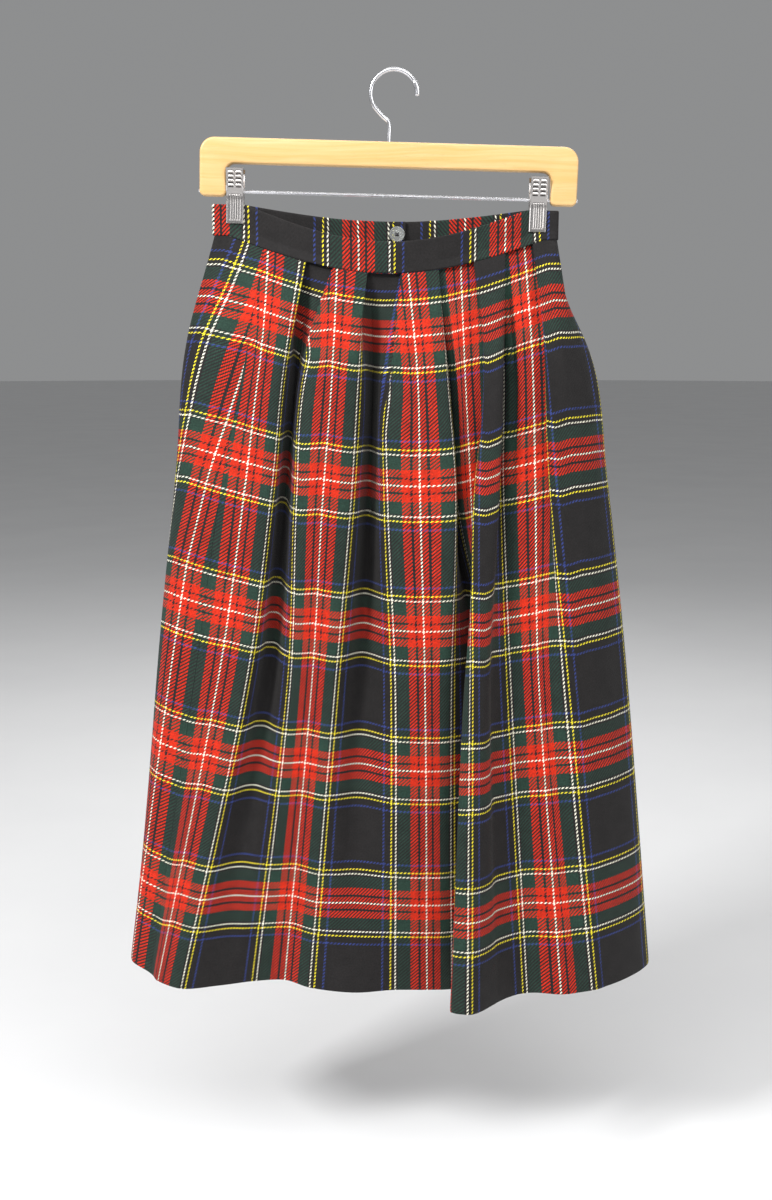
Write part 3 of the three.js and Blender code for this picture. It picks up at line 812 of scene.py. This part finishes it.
# Soft creases. Columns: cloth place and depth down the skirt (0 waist, 1 hem) of both ends, half width and
# height in millimetres, ridges above zero and troughs below.
CREASES = np.array([
    (0.545, -0.06, 0.56, 0.15, 2.2, -1.8),
    (1.485, -0.06, 1.50, 0.20, 2.2, -2.0),
    (1.690, -0.06, 1.68, 0.12, 2.0, -1.2),
    (2.850, -0.06, 2.86, 0.22, 2.2, -2.6),
    (3.080, -0.06, 3.07, 0.16, 2.0, -1.6),
    (3.865, -0.06, 3.87, 0.30, 2.2, -3.0),
    (4.045, -0.06, 4.04, 0.26, 2.0, -2.2),
    (0.02, 0.02, -0.02, 0.34, 5.0, 1.0),
    (0.34, 0.20, 0.40, 0.62, 7.0, -1.2),
    (0.66, 0.45, 0.62, 0.96, 8.0, 1.1),
    (1.06, 0.03, 1.02, 0.30, 5.0, -0.8),
    (1.30, 0.30, 1.36, 0.86, 8.0, 1.0),
    (1.84, 0.25, 1.90, 0.70, 7.0, -0.9),
    (2.08, 0.04, 2.12, 0.38, 5.0, 0.8),
    (2.30, 0.30, 2.20, 0.92, 9.0, -1.2),
    (3.46, 0.40, 3.50, 0.95, 8.0, -1.1),
    (3.92, 0.06, 3.96, 0.40, 5.0, 0.9),
    (4.10, 0.42, 4.16, 0.97, 9.0, -1.3),
    (4.44, 0.05, 4.52, 0.46, 6.0, 1.0),
    (4.70, 0.12, 4.64, 0.72, 8.0, -1.2),
    (-0.30, 0.06, -0.38, 0.50, 6.0, 0.9),
    (-0.74, 0.22, -0.80, 0.74, 9.0, -1.2),
    (-1.12, 0.30, -1.06, 0.92, 8.0, 1.0),
    (-1.70, 0.05, -1.66, 0.46, 6.0, -0.9),
    (-2.20, 0.34, -2.26, 0.90, 9.0, 1.1),
    (5.12, 0.10, 5.06, 0.60, 8.0, 1.0),
    (5.44, 0.30, 5.50, 0.94, 9.0, -1.2),
    (5.98, 0.06, 6.06, 0.44, 6.0, 0.9),
    (6.30, 0.38, 6.24, 0.88, 8.0, -1.0),
    (6.96, 0.10, 6.92, 0.66, 8.0, 1.0),
])


@dataclass
class Skirt:
    """The skirt's three panels, its hem and its waistband with button.

    sett: width of the tartan's repeat; wall: thickness of the cloth; layer_pitch: step from layer to layer of a
    pressed pleat; tuck: depth of its hidden fold; curl: how
    fast a travelling edge bends inwards; step: widest column, in setts; weft_setts, weft_start: setts down
    the skirt and where they start; side_lift, left_sag: how far the weft rises towards the sides and sags low on
    the left. Tables are pairs: parts of the way down, and setts.
    """

    cloth: Material
    thread: Material
    button_stock: Material
    loop: WaistLoop = WaistLoop()
    sett: float = 141.0
    length: float = 735.0
    wall: float = 0.9
    seam_gap: float = 0.3
    layer_pitch: float = 2.0
    tuck: float = 12.0
    curl: float = 0.0022
    corner: float = 1.2
    centre_back: float = -25.0
    tab: float = 36.0
    step: float = 0.024
    rows: int = 170
    weft_setts: float = 5.07
    weft_start: float = 0.42
    side_lift: float = 10.0
    left_sag: float = 6.0
    hem_turn: float = 0.06
    waist_set_in: tuple = ((0, 0.05, 0.1, 0.14, 1), (0.138, 0.085, 0.03, 0, 0))
    seam_set_in: tuple = ((0, 0.07, 0.14, 0.3, 0.42, 1), (0, 0.03, 0.045, 0.02, 0, 0))
    right_set_in: float = 0.125
    right_slide: float = -0.035
    left_slide: tuple = ((0, 0.06, 0.13, 0.23, 0.3, 0.42, 1), (0.06, 0.095, 0.152, 0.208, 0.262, 0.318, 0.33))

    def __post_init__(self) -> None:
        """Works out the pressed folds of the waist and the closed table of folds."""
        corner = self.corner / self.sett
        self.seams = {"left": (-0.165, 48.7), "right": (4.905, 367.0),
                      "back_left": (-2.465, self.loop.left - self.centre_back),
                      "back_right": (7.205, self.loop.front_run + self.loop.right - self.centre_back)}
        keys = [(at, run, 0.0) for at, run in self.seams.values()]
        for start, floor_start, floor_end, end, run_a, run_b in PLEATS:
            a, b = (start + floor_start) / 2, (floor_end + end) / 2
            keys += [(start - corner, run_a, 0), (start + corner, run_a, 1), (a - corner, run_a - self.tuck, 1),
                     (a + corner, run_a - self.tuck, 2), (floor_start, run_a, 2), (floor_end, run_b, 2),
                     (b - corner, run_b + self.tuck, 2), (b + corner, run_b + self.tuck, 1), (end - corner, run_b, 1),
                     (end + corner, run_b, 0)]
        self.keys = np.array(sorted(keys))
        around = self.seams["back_right"][0] - self.seams["back_left"][0]
        before, after = FOLDS[-2].copy(), FOLDS[1].copy()
        before[0] -= around
        after[0] += around
        self.folds = np.vstack([before, FOLDS, after])

    def waist(self, at: np.ndarray) -> np.ndarray:
        """Where cloth lines leave the waist seam, each on its layer of the folds.

        Args:
            at: cloth places in setts.
        Returns:
            Points (n, 3).
        """
        run = np.interp(at, self.keys[:, 0], self.keys[:, 1])
        layer = np.interp(at, self.keys[:, 0], self.keys[:, 2])
        seam = self.loop.seam
        return self.loop.point(seam, run) - self.loop.normal(seam, run) * (layer * self.layer_pitch)[:, None]

    def middle(self, at: np.ndarray, v: np.ndarray) -> np.ndarray:
        """The cloth's middle surface.

        Each cloth line runs smoothly through its places at waist, hip, thigh, knee and hem, and drops evenly.

        Args:
            at: cloth places in setts (columns).
            v: parts of the way down from 0 to 1 (rows).
        Returns:
            Grid (rows, columns, 3).
        """
        waist = self.waist(at)
        table = through(self.folds[:, 0], self.folds[:, 1:], at)
        xs = np.concatenate([waist[None, :, 0], table[:, :4].T])
        ys = np.concatenate([waist[None, :, 1], -table[:, 4:].T])
        x, y = through(LEVELS, xs, v), through(LEVELS, ys, v)
        top = waist[:, 2] - self.seam_gap
        z = top[None] + (np.interp(at, HEM[:, 0], HEM[:, 1]) - top)[None] * v[:, None]
        return np.stack([x, y, z], -1)

    def travelling_edges(self, at: np.ndarray, v: np.ndarray, grid: np.ndarray) -> np.ndarray:
        """The cloth by two pressed edges that travel along the cloth as they run down from the waist.

        Between a line of the face and the edge the cloth keeps its length, so the edge moves away from that line;
        what lies past the edge is doubled back behind it, half its length each way, until the edge reaches the
        last hidden line. Below that the cloth melts into the open fold.

        Args:
            at: cloth places (columns).
            v: parts of the way down (rows).
            grid: middle surface (rows, columns, 3).
        Returns:
            The corrected surface.
        """
        overrun, least, melt_start, melt = 1.6, 0.01, 0.95, 0.6
        out = grid.copy()
        for face, edge_top, edge_low, floor, v_low, narrow in TRAVELS:
            line = self.middle(np.array([face]), v)[:, 0]
            edge = edge_top + (edge_low - edge_top) * np.clip(v / v_low, 0, overrun)
            edge = np.maximum(edge, floor + least)[:, None]
            spread = (1 - (1 - narrow) * np.clip(v / v_low, 0, 1))[:, None]
            beside = self.middle(np.array([face - 0.004, face + 0.004]), v)
            way = unit(beside[:, 1] - beside[:, 0])[:, None]
            shown = np.clip(face - np.maximum(at[None], edge), 0, None) * self.sett * spread
            hidden = np.clip(edge - at[None], 0, None) * self.sett
            whole = (edge - floor) * self.sett
            half = np.minimum(whole / 2, self.tuck)
            share = np.clip(hidden / whole, 0, 1)
            back = half * (1 - np.abs(1 - 2 * share))
            layer = self.layer_pitch * (smooth(share * 8) + smooth((share - 0.45) * 10))
            inwards = layer + self.curl * shown ** 2
            turned = unit(np.stack([way[..., 1], -way[..., 0], 0 * way[..., 0]], -1))
            folded = line[:, None] - way * (shown - back)[..., None] - turned * inwards[..., None]
            folded[..., 2] = grid[..., 2]
            here = smooth((at - floor + 0.02) / 0.06) * smooth((face - at) / 0.02)
            held = here[None] * (1 - smooth((v / v_low - melt_start) / melt))[:, None]
            out = out * (1 - held[..., None]) + folded * held[..., None]
        return out

    def creases(self, at: np.ndarray, v: np.ndarray) -> np.ndarray:
        """Height of the soft creases: a bell across each line, faded smoothly towards both its ends.

        Args:
            at: cloth places (columns).
            v: parts of the way down (rows).
        Returns:
            Heights (rows, columns).
        """
        s, t = np.meshgrid(at * self.sett, v * self.length)
        height = np.zeros_like(s)
        for a0, v0, a1, v1, width, rise in CREASES:
            ds, dt = s - a0 * self.sett, t - v0 * self.length
            way = np.array([(a1 - a0) * self.sett, (v1 - v0) * self.length])
            size = float(np.hypot(*way))
            w = (ds * way[0] + dt * way[1]) / size ** 2
            side = np.abs(ds * way[1] - dt * way[0]) / size
            height += rise * np.exp(-((side / width) ** 2)) * smooth(w * 4 + 0.5) * smooth((1 - w) * 4 + 0.5)
        return height * smooth(v * 12)[:, None]

    def weave(self, at: np.ndarray, v: np.ndarray) -> np.ndarray:
        """Cloth coordinates: warp and weft in setts from the middle of a red stripe.

        The warp is set in at the hips: by the side seams the front's stripes draw together, and the back's start
        further round and slide out along the left seam. The weft rises towards the side seams, less so low on
        the left.

        Args:
            at: cloth places (columns).
            v: parts of the way down (rows).
        Returns:
            Grid (rows, columns, 2).
        """
        u, w = np.meshgrid(at, v)
        left, right = self.seams["left"][0], self.seams["right"][0]
        first_pleat, last_crease, hip_depth, lift_low, lift_end = 0.25, 4.7, 0.42, 0.45, 0.85
        front = (u >= left) & (u <= right)
        hip = 1 - smooth(w / hip_depth)
        by_pleat = np.interp(w, *self.waist_set_in) * np.clip((first_pleat - u) / (first_pleat - left), 0, 1)
        by_left = np.interp(w, *self.seam_set_in) * np.clip(u / left, 0, 1)
        by_right = self.right_set_in * hip * np.clip((u - last_crease) / (right - last_crease), 0, 1)
        behind = np.where(u < left, np.interp(w, *self.left_slide), self.right_slide * hip)
        slide = np.where(front, by_pleat + by_left - by_right, behind)
        middle, half = (left + right) / 2, (right - left) / 2
        near_seam = np.exp(-np.minimum(np.abs(u - left), np.abs(u - right)))
        by_side = np.where(front, ((u - middle) / half) ** 2, near_seam)
        swell = lift_low + (1 - lift_low) * np.sin(np.clip(w / lift_end, 0, 1) * math.pi)
        low_left = smooth((0.06 - u) / 0.22) * smooth((u + 1.1) / 0.5) * smooth((w - 0.35) / 0.45)
        rise = (self.side_lift * by_side * swell - self.left_sag * low_left) / self.sett
        return np.stack([u + slide, w * self.weft_setts - self.weft_start + rise], -1)

    def columns(self, start: float, end: float) -> np.ndarray:
        """Cloth places of a panel's columns: every pressed corner and an even step between.

        Args:
            start: cloth place of the first.
            end: cloth place of the last.
        Returns:
            Rising places.
        """
        corners = self.keys[:, 0]
        stops = np.concatenate([[start], corners[(corners > start + 0.01) & (corners < end - 0.01)], [end]])
        parts = [np.linspace(a, b, max(2, math.ceil((b - a) / self.step) + 1))[:-1] for a, b in zip(stops, stops[1:])]
        return np.concatenate([*parts, [end]])

    def panel(self, name: str, node: str, start: float, end: float) -> None:
        """One panel: a closed shell on the middle surface, and its hem turned up inside.

        Args:
            name: stem of the pieces' names.
            node: the CAD node that it stands for.
            start: cloth place of its left seam.
            end: cloth place of its right seam.
        """
        seam = self.seam_gap / 2 / self.sett
        at = self.columns(start + seam, end - seam)
        close_rows, close_part, hem_edge, hem_gap = 15, 0.06, 0.0012, 0.15
        v = np.concatenate([np.linspace(0, close_part, close_rows, endpoint=False),
                            np.linspace(close_part, 1, self.rows - close_rows)])
        middle = self.travelling_edges(at, v, self.middle(at, v))
        middle = middle + normals_of(middle) * self.creases(at, v)[..., None]
        normal, weave = normals_of(middle), self.weave(at, v)
        reach = normal * (self.wall / 2 * quarter((1 - v) / hem_edge, 0.05))[:, None, None]
        shell = Shape().wall(middle + reach, middle - reach, weave).piece(f"{name}_cloth", self.cloth, "tartan")
        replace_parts(shell, node)
        turned = v >= 1 - self.hem_turn
        inner = middle[turned] - normal[turned] * (self.wall / 2 + hem_gap)
        deep = inner - normal[turned] * self.wall
        mirrored = weave[turned] * (1, -1) + (0, 2 * weave[-1, 0, 1])
        hem = Shape().wall(inner, deep, mirrored).piece(f"{name}_hem_turnup", self.cloth, "tartan")

    def band_point(self, run: np.ndarray, down: np.ndarray) -> np.ndarray:
        """Middle of the band: upright above, flared to the seam below, the tab tucked under its other end.

        Args:
            run: places along the loop.
            down: from 0 at the band's top edge to 1 at the waist seam.
        Returns:
            Grid (rows, columns, 3).
        """
        upright, lap, ease, behind = 0.72, 18, 15, 2.8
        top, seam = self.loop.point(self.loop.top, run), self.loop.point(self.loop.seam, run)
        way, d = seam - top, down[:, None]
        point = np.stack([0 * d + top[:, 0], top[:, 1] + way[:, 1] * (np.maximum(d - upright, 0) / (1 - upright)),
                          top[:, 2] + way[:, 2] * d], -1)
        under = smooth((self.seams["back_left"][1] + lap - run) / ease) * behind
        return point - self.loop.normal(self.loop.top, run) * under[:, None]

    def waistband(self) -> None:
        """The band as one closed wall whose top edge is a soft fold."""
        fold, half_thick, sett, red = 0.06, 1.1, 138.0, 138.5
        start, end = self.seams["back_left"][1] - self.tab, self.seams["back_right"][1] - self.seam_gap
        close = self.loop.seam.spread * np.linspace(-1, 1, 25)
        bends = np.concatenate([close, self.loop.front_run + close])
        run = np.unique(np.concatenate([np.linspace(start, end, 260), bends]))
        edge = fold * (1 - np.cos(np.linspace(0, math.pi / 2, 6)))
        down = np.unique(np.concatenate([edge, np.linspace(fold, 1 - fold, 22), 1 - edge]))
        middle = self.band_point(run, down)
        ripple = 0.35 * np.sin(run / 11.0 + 1.3) * np.sin(run / 37.0)
        normal = normals_of(middle)
        middle = middle + normal * (ripple[None, :, None] * np.sin(math.pi * down)[:, None, None])
        reach = normal * (half_thick * quarter(np.minimum(down, 1 - down) / fold, 0.02))[:, None, None]
        weave = np.stack(np.meshgrid((run - red) / sett, 0.41 + 0.18 * down), -1)
        band = Shape().wall(middle + reach, middle - reach, weave).piece("waistband_cloth", self.cloth, "tartan")
        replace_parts(band, "waistband")

    def button(self, node: Object) -> None:
        """Clear plastic on the button and the crossed threads that hold it.

        Args:
            node: the CAD button.
        """
        refinish(node, self.button_stock)
        low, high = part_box("waist_button")
        eye = np.array([(low.x + high.x) / 2 / MM, low.y / MM + 0.55, (low.z + high.z) / 2 / MM])
        reach, height, apart, thick = 0.95, 0.75, 0.22, 0.2
        shape, s = Shape(), np.linspace(-1, 1, 13)
        for sign in (-1, 1):
            along = np.stack([reach * s, -height * np.sqrt(np.clip(1 - s ** 4, 0, 1)), sign * reach * s], 1)
            for shift in (-apart, apart):
                shape.tube(eye + along + (shift, 0.0, -sign * shift), thick, np.array([0.0, 1.0, 0.02]), 6)
        shape.piece("button_thread", self.thread, "tartan")

    def build(self, nodes: dict[str, Object]) -> None:
        """All of the skirt.

        Args:
            nodes: the CAD objects by name.
        """
        self.waistband()
        left, right = self.seams["left"][0], self.seams["right"][0]
        self.panel("skirt_front", "front_panel", left, right)
        self.panel("skirt_back_left", "back_left_panel", self.seams["back_left"][0], left)
        self.panel("skirt_back_right", "back_right_panel", right, self.seams["back_right"][0])
        self.button(nodes["waist_button"])


# ---- the hanger


@dataclass
class Hanger:
    """Wooden rail, wire hook, steel rod and two spring clips, all turned by the loaded hanger's tilt.

    top, bottom: heights of the rail's top and its arms' ends; rail, arm, thick: depth of the rail, width of an arm,
    thickness; outer, inner, foot, eased: radii of its corners and edges; wire: the hook's radius of wire.
    """

    wood: Material
    chrome: Material
    pressed: Material
    tilt_degrees: float = 1.6
    width: float = 356.0
    top: float = -63.3
    rail: float = 23.5
    bottom: float = -117.0
    thick: float = 12.0
    arm: float = 25.0
    centre: float = -2.3
    outer: float = 14.0
    inner: float = 8.0
    foot: float = 5.0
    eased: float = 2.2
    wire: float = 1.9
    hook_radius: float = 21.8
    hook_tip: float = -4.0
    hook_turn: float = 214.0
    stem_x: float = -3.2
    stem_depth: float = 12.0
    rod_z: float = -112.0

    def tilt(self, points: np.ndarray) -> np.ndarray:
        """Points turned about Y by the tilt.

        Args:
            points: array (..., 3).
        Returns:
            Array of the same shape.
        """
        a = math.radians(self.tilt_degrees)
        x, y, z = np.moveaxis(points, -1, 0)
        return np.stack([x * math.cos(a) + z * math.sin(a), y, z * math.cos(a) - x * math.sin(a)], -1)

    def outline(self) -> np.ndarray:
        """The rail's outline, clockwise from the top left, all its corners round.

        Returns:
            Points (n, 2) in X and Z.
        """
        half, inside, rail = self.width / 2, self.width / 2 - self.arm, self.top - self.rail
        corners = ((-half, self.top, self.outer, 180, 90), (half, self.top, self.outer, 90, 0),
                   (half, self.bottom, self.foot, 0, -90), (inside, self.bottom, self.foot, 270, 180),
                   (inside, rail, self.inner, 0, 90), (-inside, rail, self.inner, 90, 180),
                   (-inside, self.bottom, self.foot, 0, -90), (-half, self.bottom, self.foot, 270, 180))
        rows = []
        for x, z, radius, start, end in corners:
            a = np.radians(np.linspace(start, end, 11))
            middle = (a[0] + a[-1]) / 2
            cx = x - math.copysign(radius, math.cos(middle))
            cz = z - math.copysign(radius, math.sin(middle))
            rows.append(np.stack([cx + radius * np.cos(a), cz + radius * np.sin(a)], 1))
        return np.concatenate(rows)

    def bar(self) -> None:
        """The rail: its outline carried through its thickness, with a rounded edge front and back."""
        line = self.outline()
        way = unit(np.roll(line, -1, 0) - line) + unit(line - np.roll(line, 1, 0))
        out = unit(way[:, ::-1] * (-1, 1))
        a = np.linspace(0, math.pi / 2, 6)
        inset = self.eased * (1 - np.sin(a))
        depth = -self.thick / 2 + self.eased * (1 - np.cos(a))
        insets, depths = np.concatenate([inset, inset[::-1]]), np.concatenate([depth, -depth[::-1]])
        flat = line - out * insets[:, None, None]
        rings = np.stack([flat[..., 0] + self.centre, 0 * flat[..., 0] + depths[:, None], flat[..., 1]], -1)
        n, m = rings.shape[:2]
        shape = Shape().add(self.tilt(rings), ring_faces(n, m))
        shape.faces += [np.arange(m)[None, ::-1], (n - 1) * m + np.arange(m)[None]]
        bar = shape.piece("hanger_bar_wood", self.wood, "wood", 30)
        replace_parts(bar, "hanger_bar")

    def hook(self) -> None:
        """The hook: wire bent to most of a circle, with a rounded tip, a neck and a stem into the rail."""
        drop, neck_turn, cap, cap_end = self.wire - self.hook_radius, -9.5, 0.55, 13.0
        a = math.radians(self.tilt_degrees)
        turn = np.radians(np.linspace(self.hook_tip, self.hook_turn, 15))
        arc = np.stack([-drop * math.sin(a) + self.hook_radius * np.cos(turn), 0 * turn,
                        drop * math.cos(a) + self.hook_radius * np.sin(turn)], 1)
        neck = np.array([(neck_turn, 0, -40.5), (self.stem_x - 1.4, 0, -44.5), (self.stem_x, 0, -50),
                         (self.stem_x, 0, -58), (self.stem_x, 0, self.top - self.stem_depth)])
        points = np.concatenate([arc, neck])
        chord = np.concatenate([[0], np.cumsum(np.sqrt(np.linalg.norm(np.diff(points, axis=0), axis=1)))])
        path = self.tilt(through(chord, points, np.linspace(0, chord[-1], 260)))
        away = length_along(path)
        thick = self.wire + cap * (1 - smooth((away - cap_end) / 0.6))
        radius = thick * quarter(away / self.wire, 0.02)
        hook = Shape().tube(path, radius, np.array([0.0, 1.0, 0.0]), 20)
        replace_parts(hook.piece("hanger_hook_wire", self.chrome, "wire", 70), "hanger_hook")

    def leaf(self, name: str, x: float, side: Side) -> None:
        """One pressed leaf of a clip, with louvres above, ribs below and two ears on the rod.

        The sheet follows a bent line upwards; across it five fine ribs and two columns of four louvres, each a
        ramp that ends in a lip, stand out of its face. What lies in a gap or groove is marked as sunk.

        Args:
            name: the CAD node that it stands for.
            x: the clip's place on the rod.
            side: front or rear.
        """
        near, splay, width, sheet = 2.75, 6.2, 16.5, 1.0
        top, knee, bottom = -91.0, -118.0, -141.5
        rib, rib_field, louvre, louvre_top, count, column = 2.2, 5.9, 3.9, top - 2.2, 4, 3.6
        z = np.linspace(bottom, top, 150)
        zz, aa = np.meshgrid(z, np.linspace(-width / 2, width / 2, 70), indexing="ij")
        lift = np.interp(z, [bottom, knee - 1.5, knee + 1.5, top], [0, 0, 0.35, splay])[:, None]
        fade = (smooth((zz - bottom - 2.5) / 1.6) * smooth((knee + 3.5 - zz) / 1.6)
                * smooth((rib_field - np.abs(aa)) / 0.5))
        wave = np.abs(np.cos(np.pi * aa / rib))
        ramp = np.mod((louvre_top - zz) / louvre, 1.0)
        cells = sum(np.exp(-(((aa - k * column) / 2.75) ** 8)) for k in (-1, 1))
        cells = cells * ((zz < louvre_top) & (zz > louvre_top - count * louvre))
        lip = smooth(ramp / 0.6) * (1 - smooth((ramp - 0.68) / 0.1)) * cells
        flange = np.exp(-(((np.abs(aa) - width / 2 + 0.5) / 0.5) ** 2))
        face = lift + sheet + 0.6 * wave ** 0.6 * fade + 0.85 * lip + 0.35 * flange
        edge = np.minimum(np.minimum(width / 2 - np.abs(aa), zz - bottom), top - zz) / 0.4
        sign, turn = side.value, slice(None, None, side.value)
        outer = np.stack([aa + x, sign * (near + face - 0.35 * (1 - quarter(edge))), zz], -1)
        inner = np.stack([aa + x, 0 * aa + sign * (near + lift), zz], -1)
        # Mask for painted shade: the louvres' gaps and the grooves between ribs, carried in the cloth coordinates
        sunk = np.clip(smooth((ramp - 0.7) / 0.08) * cells + (1 - smooth(wave / 0.55)) * fade, 0, 1)
        shape = Shape().wall(outer[turn], inner[turn], np.stack([sunk, 0 * sunk], -1)[turn])
        ear_x, back, far = width / 2 - 0.4 - (1.1 if side is Side.REAR else 0), -2.6, near + splay
        tab = np.array([(near + 0.4, -4.5), (back + 0.9, -3.0), (back, -1.6), (back, 1.6), (back + 0.9, 3.0),
                        (far - 1.6, 4.5)]) * (sign, 1) + (0, self.rod_z)
        k, n = np.arange(len(tab)), len(tab)
        for end in (-1, 1):
            plate = [np.insert(tab, 0, x + end * ear_x + h, 1) for h in (-0.4, 0.4)]
            start = shape.size
            shape.add(np.concatenate(plate), ring_faces(2, n)[:, ::sign])
            shape.faces += [k[None, ::sign] + start, (k + n)[None, ::-sign] + start]
        shape.points = [self.tilt(p) for p in shape.points]
        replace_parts(shape.piece(f"{name}_sheet", self.pressed, "clip", 40), name)

    def spring(self, name: str, x: float) -> None:
        """The coil between the ears: a round wire wound on the rod.

        Args:
            name: the CAD node that it stands for.
            x: the clip's place on the rod.
        """
        turns, half, coil = 9, 5.3, 2.75
        t = np.linspace(0, 1, turns * 28)
        a = t * turns * 2 * math.pi
        path = np.stack([x - half + 2 * half * t, coil * np.cos(a), self.rod_z + coil * np.sin(a)], 1)
        across = np.stack([0 * a, np.cos(a), np.sin(a)], 1)
        shape = Shape().tube(path, 0.52, across, 8)
        shape.points = [self.tilt(p) for p in shape.points]
        spring = shape.piece(f"{name}_coil", self.chrome, "clip", 70)
        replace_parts(spring, name)

    def build(self, nodes: dict[str, Object]) -> None:
        """All of the hanger.

        Args:
            nodes: the CAD objects by name.
        """
        self.bar()
        self.hook()
        refinish(nodes["hanger_rod"], self.chrome)
        for stem, x in (("clip_left", -147.0), ("clip_right", 139.7)):
            self.leaf(f"{stem}_front", x, Side.FRONT)
            self.leaf(f"{stem}_rear", x, Side.REAR)
            self.spring(f"{stem}_spring", x)


# ---- the room


@dataclass
class Studio:
    """Camera, soft lights, world and a pale floor."""

    floor_z: float = -1.12

    def camera(self) -> None:
        """The camera, level with the thigh and looking a little down."""
        data = bpy.data.cameras.new("studio_camera")
        data.lens, data.sensor_width, data.sensor_fit = 41.25, 36.0, "AUTO"
        data.clip_start, data.clip_end = 0.05, 60.0
        camera = bpy.data.objects.new("studio_camera", data)
        camera.location = (-0.0075, -1.35, -0.246)
        camera.rotation_euler = (math.radians(90 - 10.7), 0, 0)
        bpy.context.scene.collection.objects.link(camera)
        bpy.context.scene.camera = camera

    def light(self, name: str, place: tuple, aim: tuple, size: tuple[float, float], power: float) -> None:
        """One softbox.

        Args:
            name: its name.
            place: where it stands, in metres.
            aim: the point that it faces.
            size: its width and height in metres.
            power: watts.
        """
        data = bpy.data.lights.new(name, "AREA")
        data.shape, data.energy = "RECTANGLE", power
        data.size, data.size_y = size
        light = bpy.data.objects.new(name, data)
        light.location = place
        x, y, z = np.array(aim, float) - np.array(place, float)
        light.rotation_euler = (math.atan2(math.hypot(x, y), -z), 0, math.atan2(y, x) - math.pi / 2)
        bpy.context.scene.collection.objects.link(light)

    def floor(self) -> None:
        """A wide round floor."""
        radius, sides = 30.0, 64
        turn = np.arange(sides) * 2 * math.pi / sides
        rim = np.stack([radius * np.cos(turn), radius * np.sin(turn), np.full(sides, self.floor_z)], 1)
        mesh = bpy.data.meshes.new("studio_floor")
        mesh.from_pydata(rim.tolist(), [], [list(range(sides))])
        mesh.materials.append(PaleFloor().make("pale_floor"))
        floor = bpy.data.objects.new("studio_floor", mesh)
        bpy.context.scene.collection.objects.link(floor)

    def build(self) -> None:
        """Everything round the skirt."""
        world = bpy.data.worlds.new("studio_world")
        world.use_nodes = True
        sky = world.node_tree.nodes["Background"]
        sky.inputs["Color"].default_value, sky.inputs["Strength"].default_value = (0.9, 0.91, 0.92, 1.0), 0.3
        bpy.context.scene.world = world
        bpy.context.scene.view_settings.view_transform = "Standard"
        self.camera()
        self.light("key_softbox", (-1.9, -1.7, 1.4), (0, 0, -0.45), (0.6, 0.6), 98.0)
        self.light("fill_softbox", (2.1, -1.3, 0.5), (0, 0, -0.45), (1.8, 1.8), 27.0)
        self.light("strip_softbox", (0.0, -1.7, 1.7), (0, 0, -0.3), (2.8, 1.1), 54.0)
        self.light("back_softbox", (0.3, 1.8, 1.2), (0, 0, -0.4), (1.4, 1.4), 24.0)
        self.floor()


def main() -> None:
    """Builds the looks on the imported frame, reporting each piece."""
    logging.basicConfig(level=logging.INFO, format="%(name)s %(message)s")
    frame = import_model()
    scuffs = scuff_group()
    Studio().build()
    Skirt(cloth=Tartan(twill_group()).make("tartan_worsted"), thread=Thread().make("sewing_thread"),
          button_stock=ClearPlastic(scuffs).make("clear_button")).build(frame["nodes"])
    # The clips' chrome, with painted shade in its gaps and grooves
    pressed = Chrome(scuffs, shaded_grooves=True, colour=srgb(214, 208, 202)).make("pressed_chrome")
    Hanger(wood=PaleWood(scuffs).make("pale_hardwood"), chrome=Chrome(scuffs).make("bright_chrome"),
           pressed=pressed).build(frame["nodes"])
    bpy.context.view_layer.update()


if __name__ == "__main__":
    main()
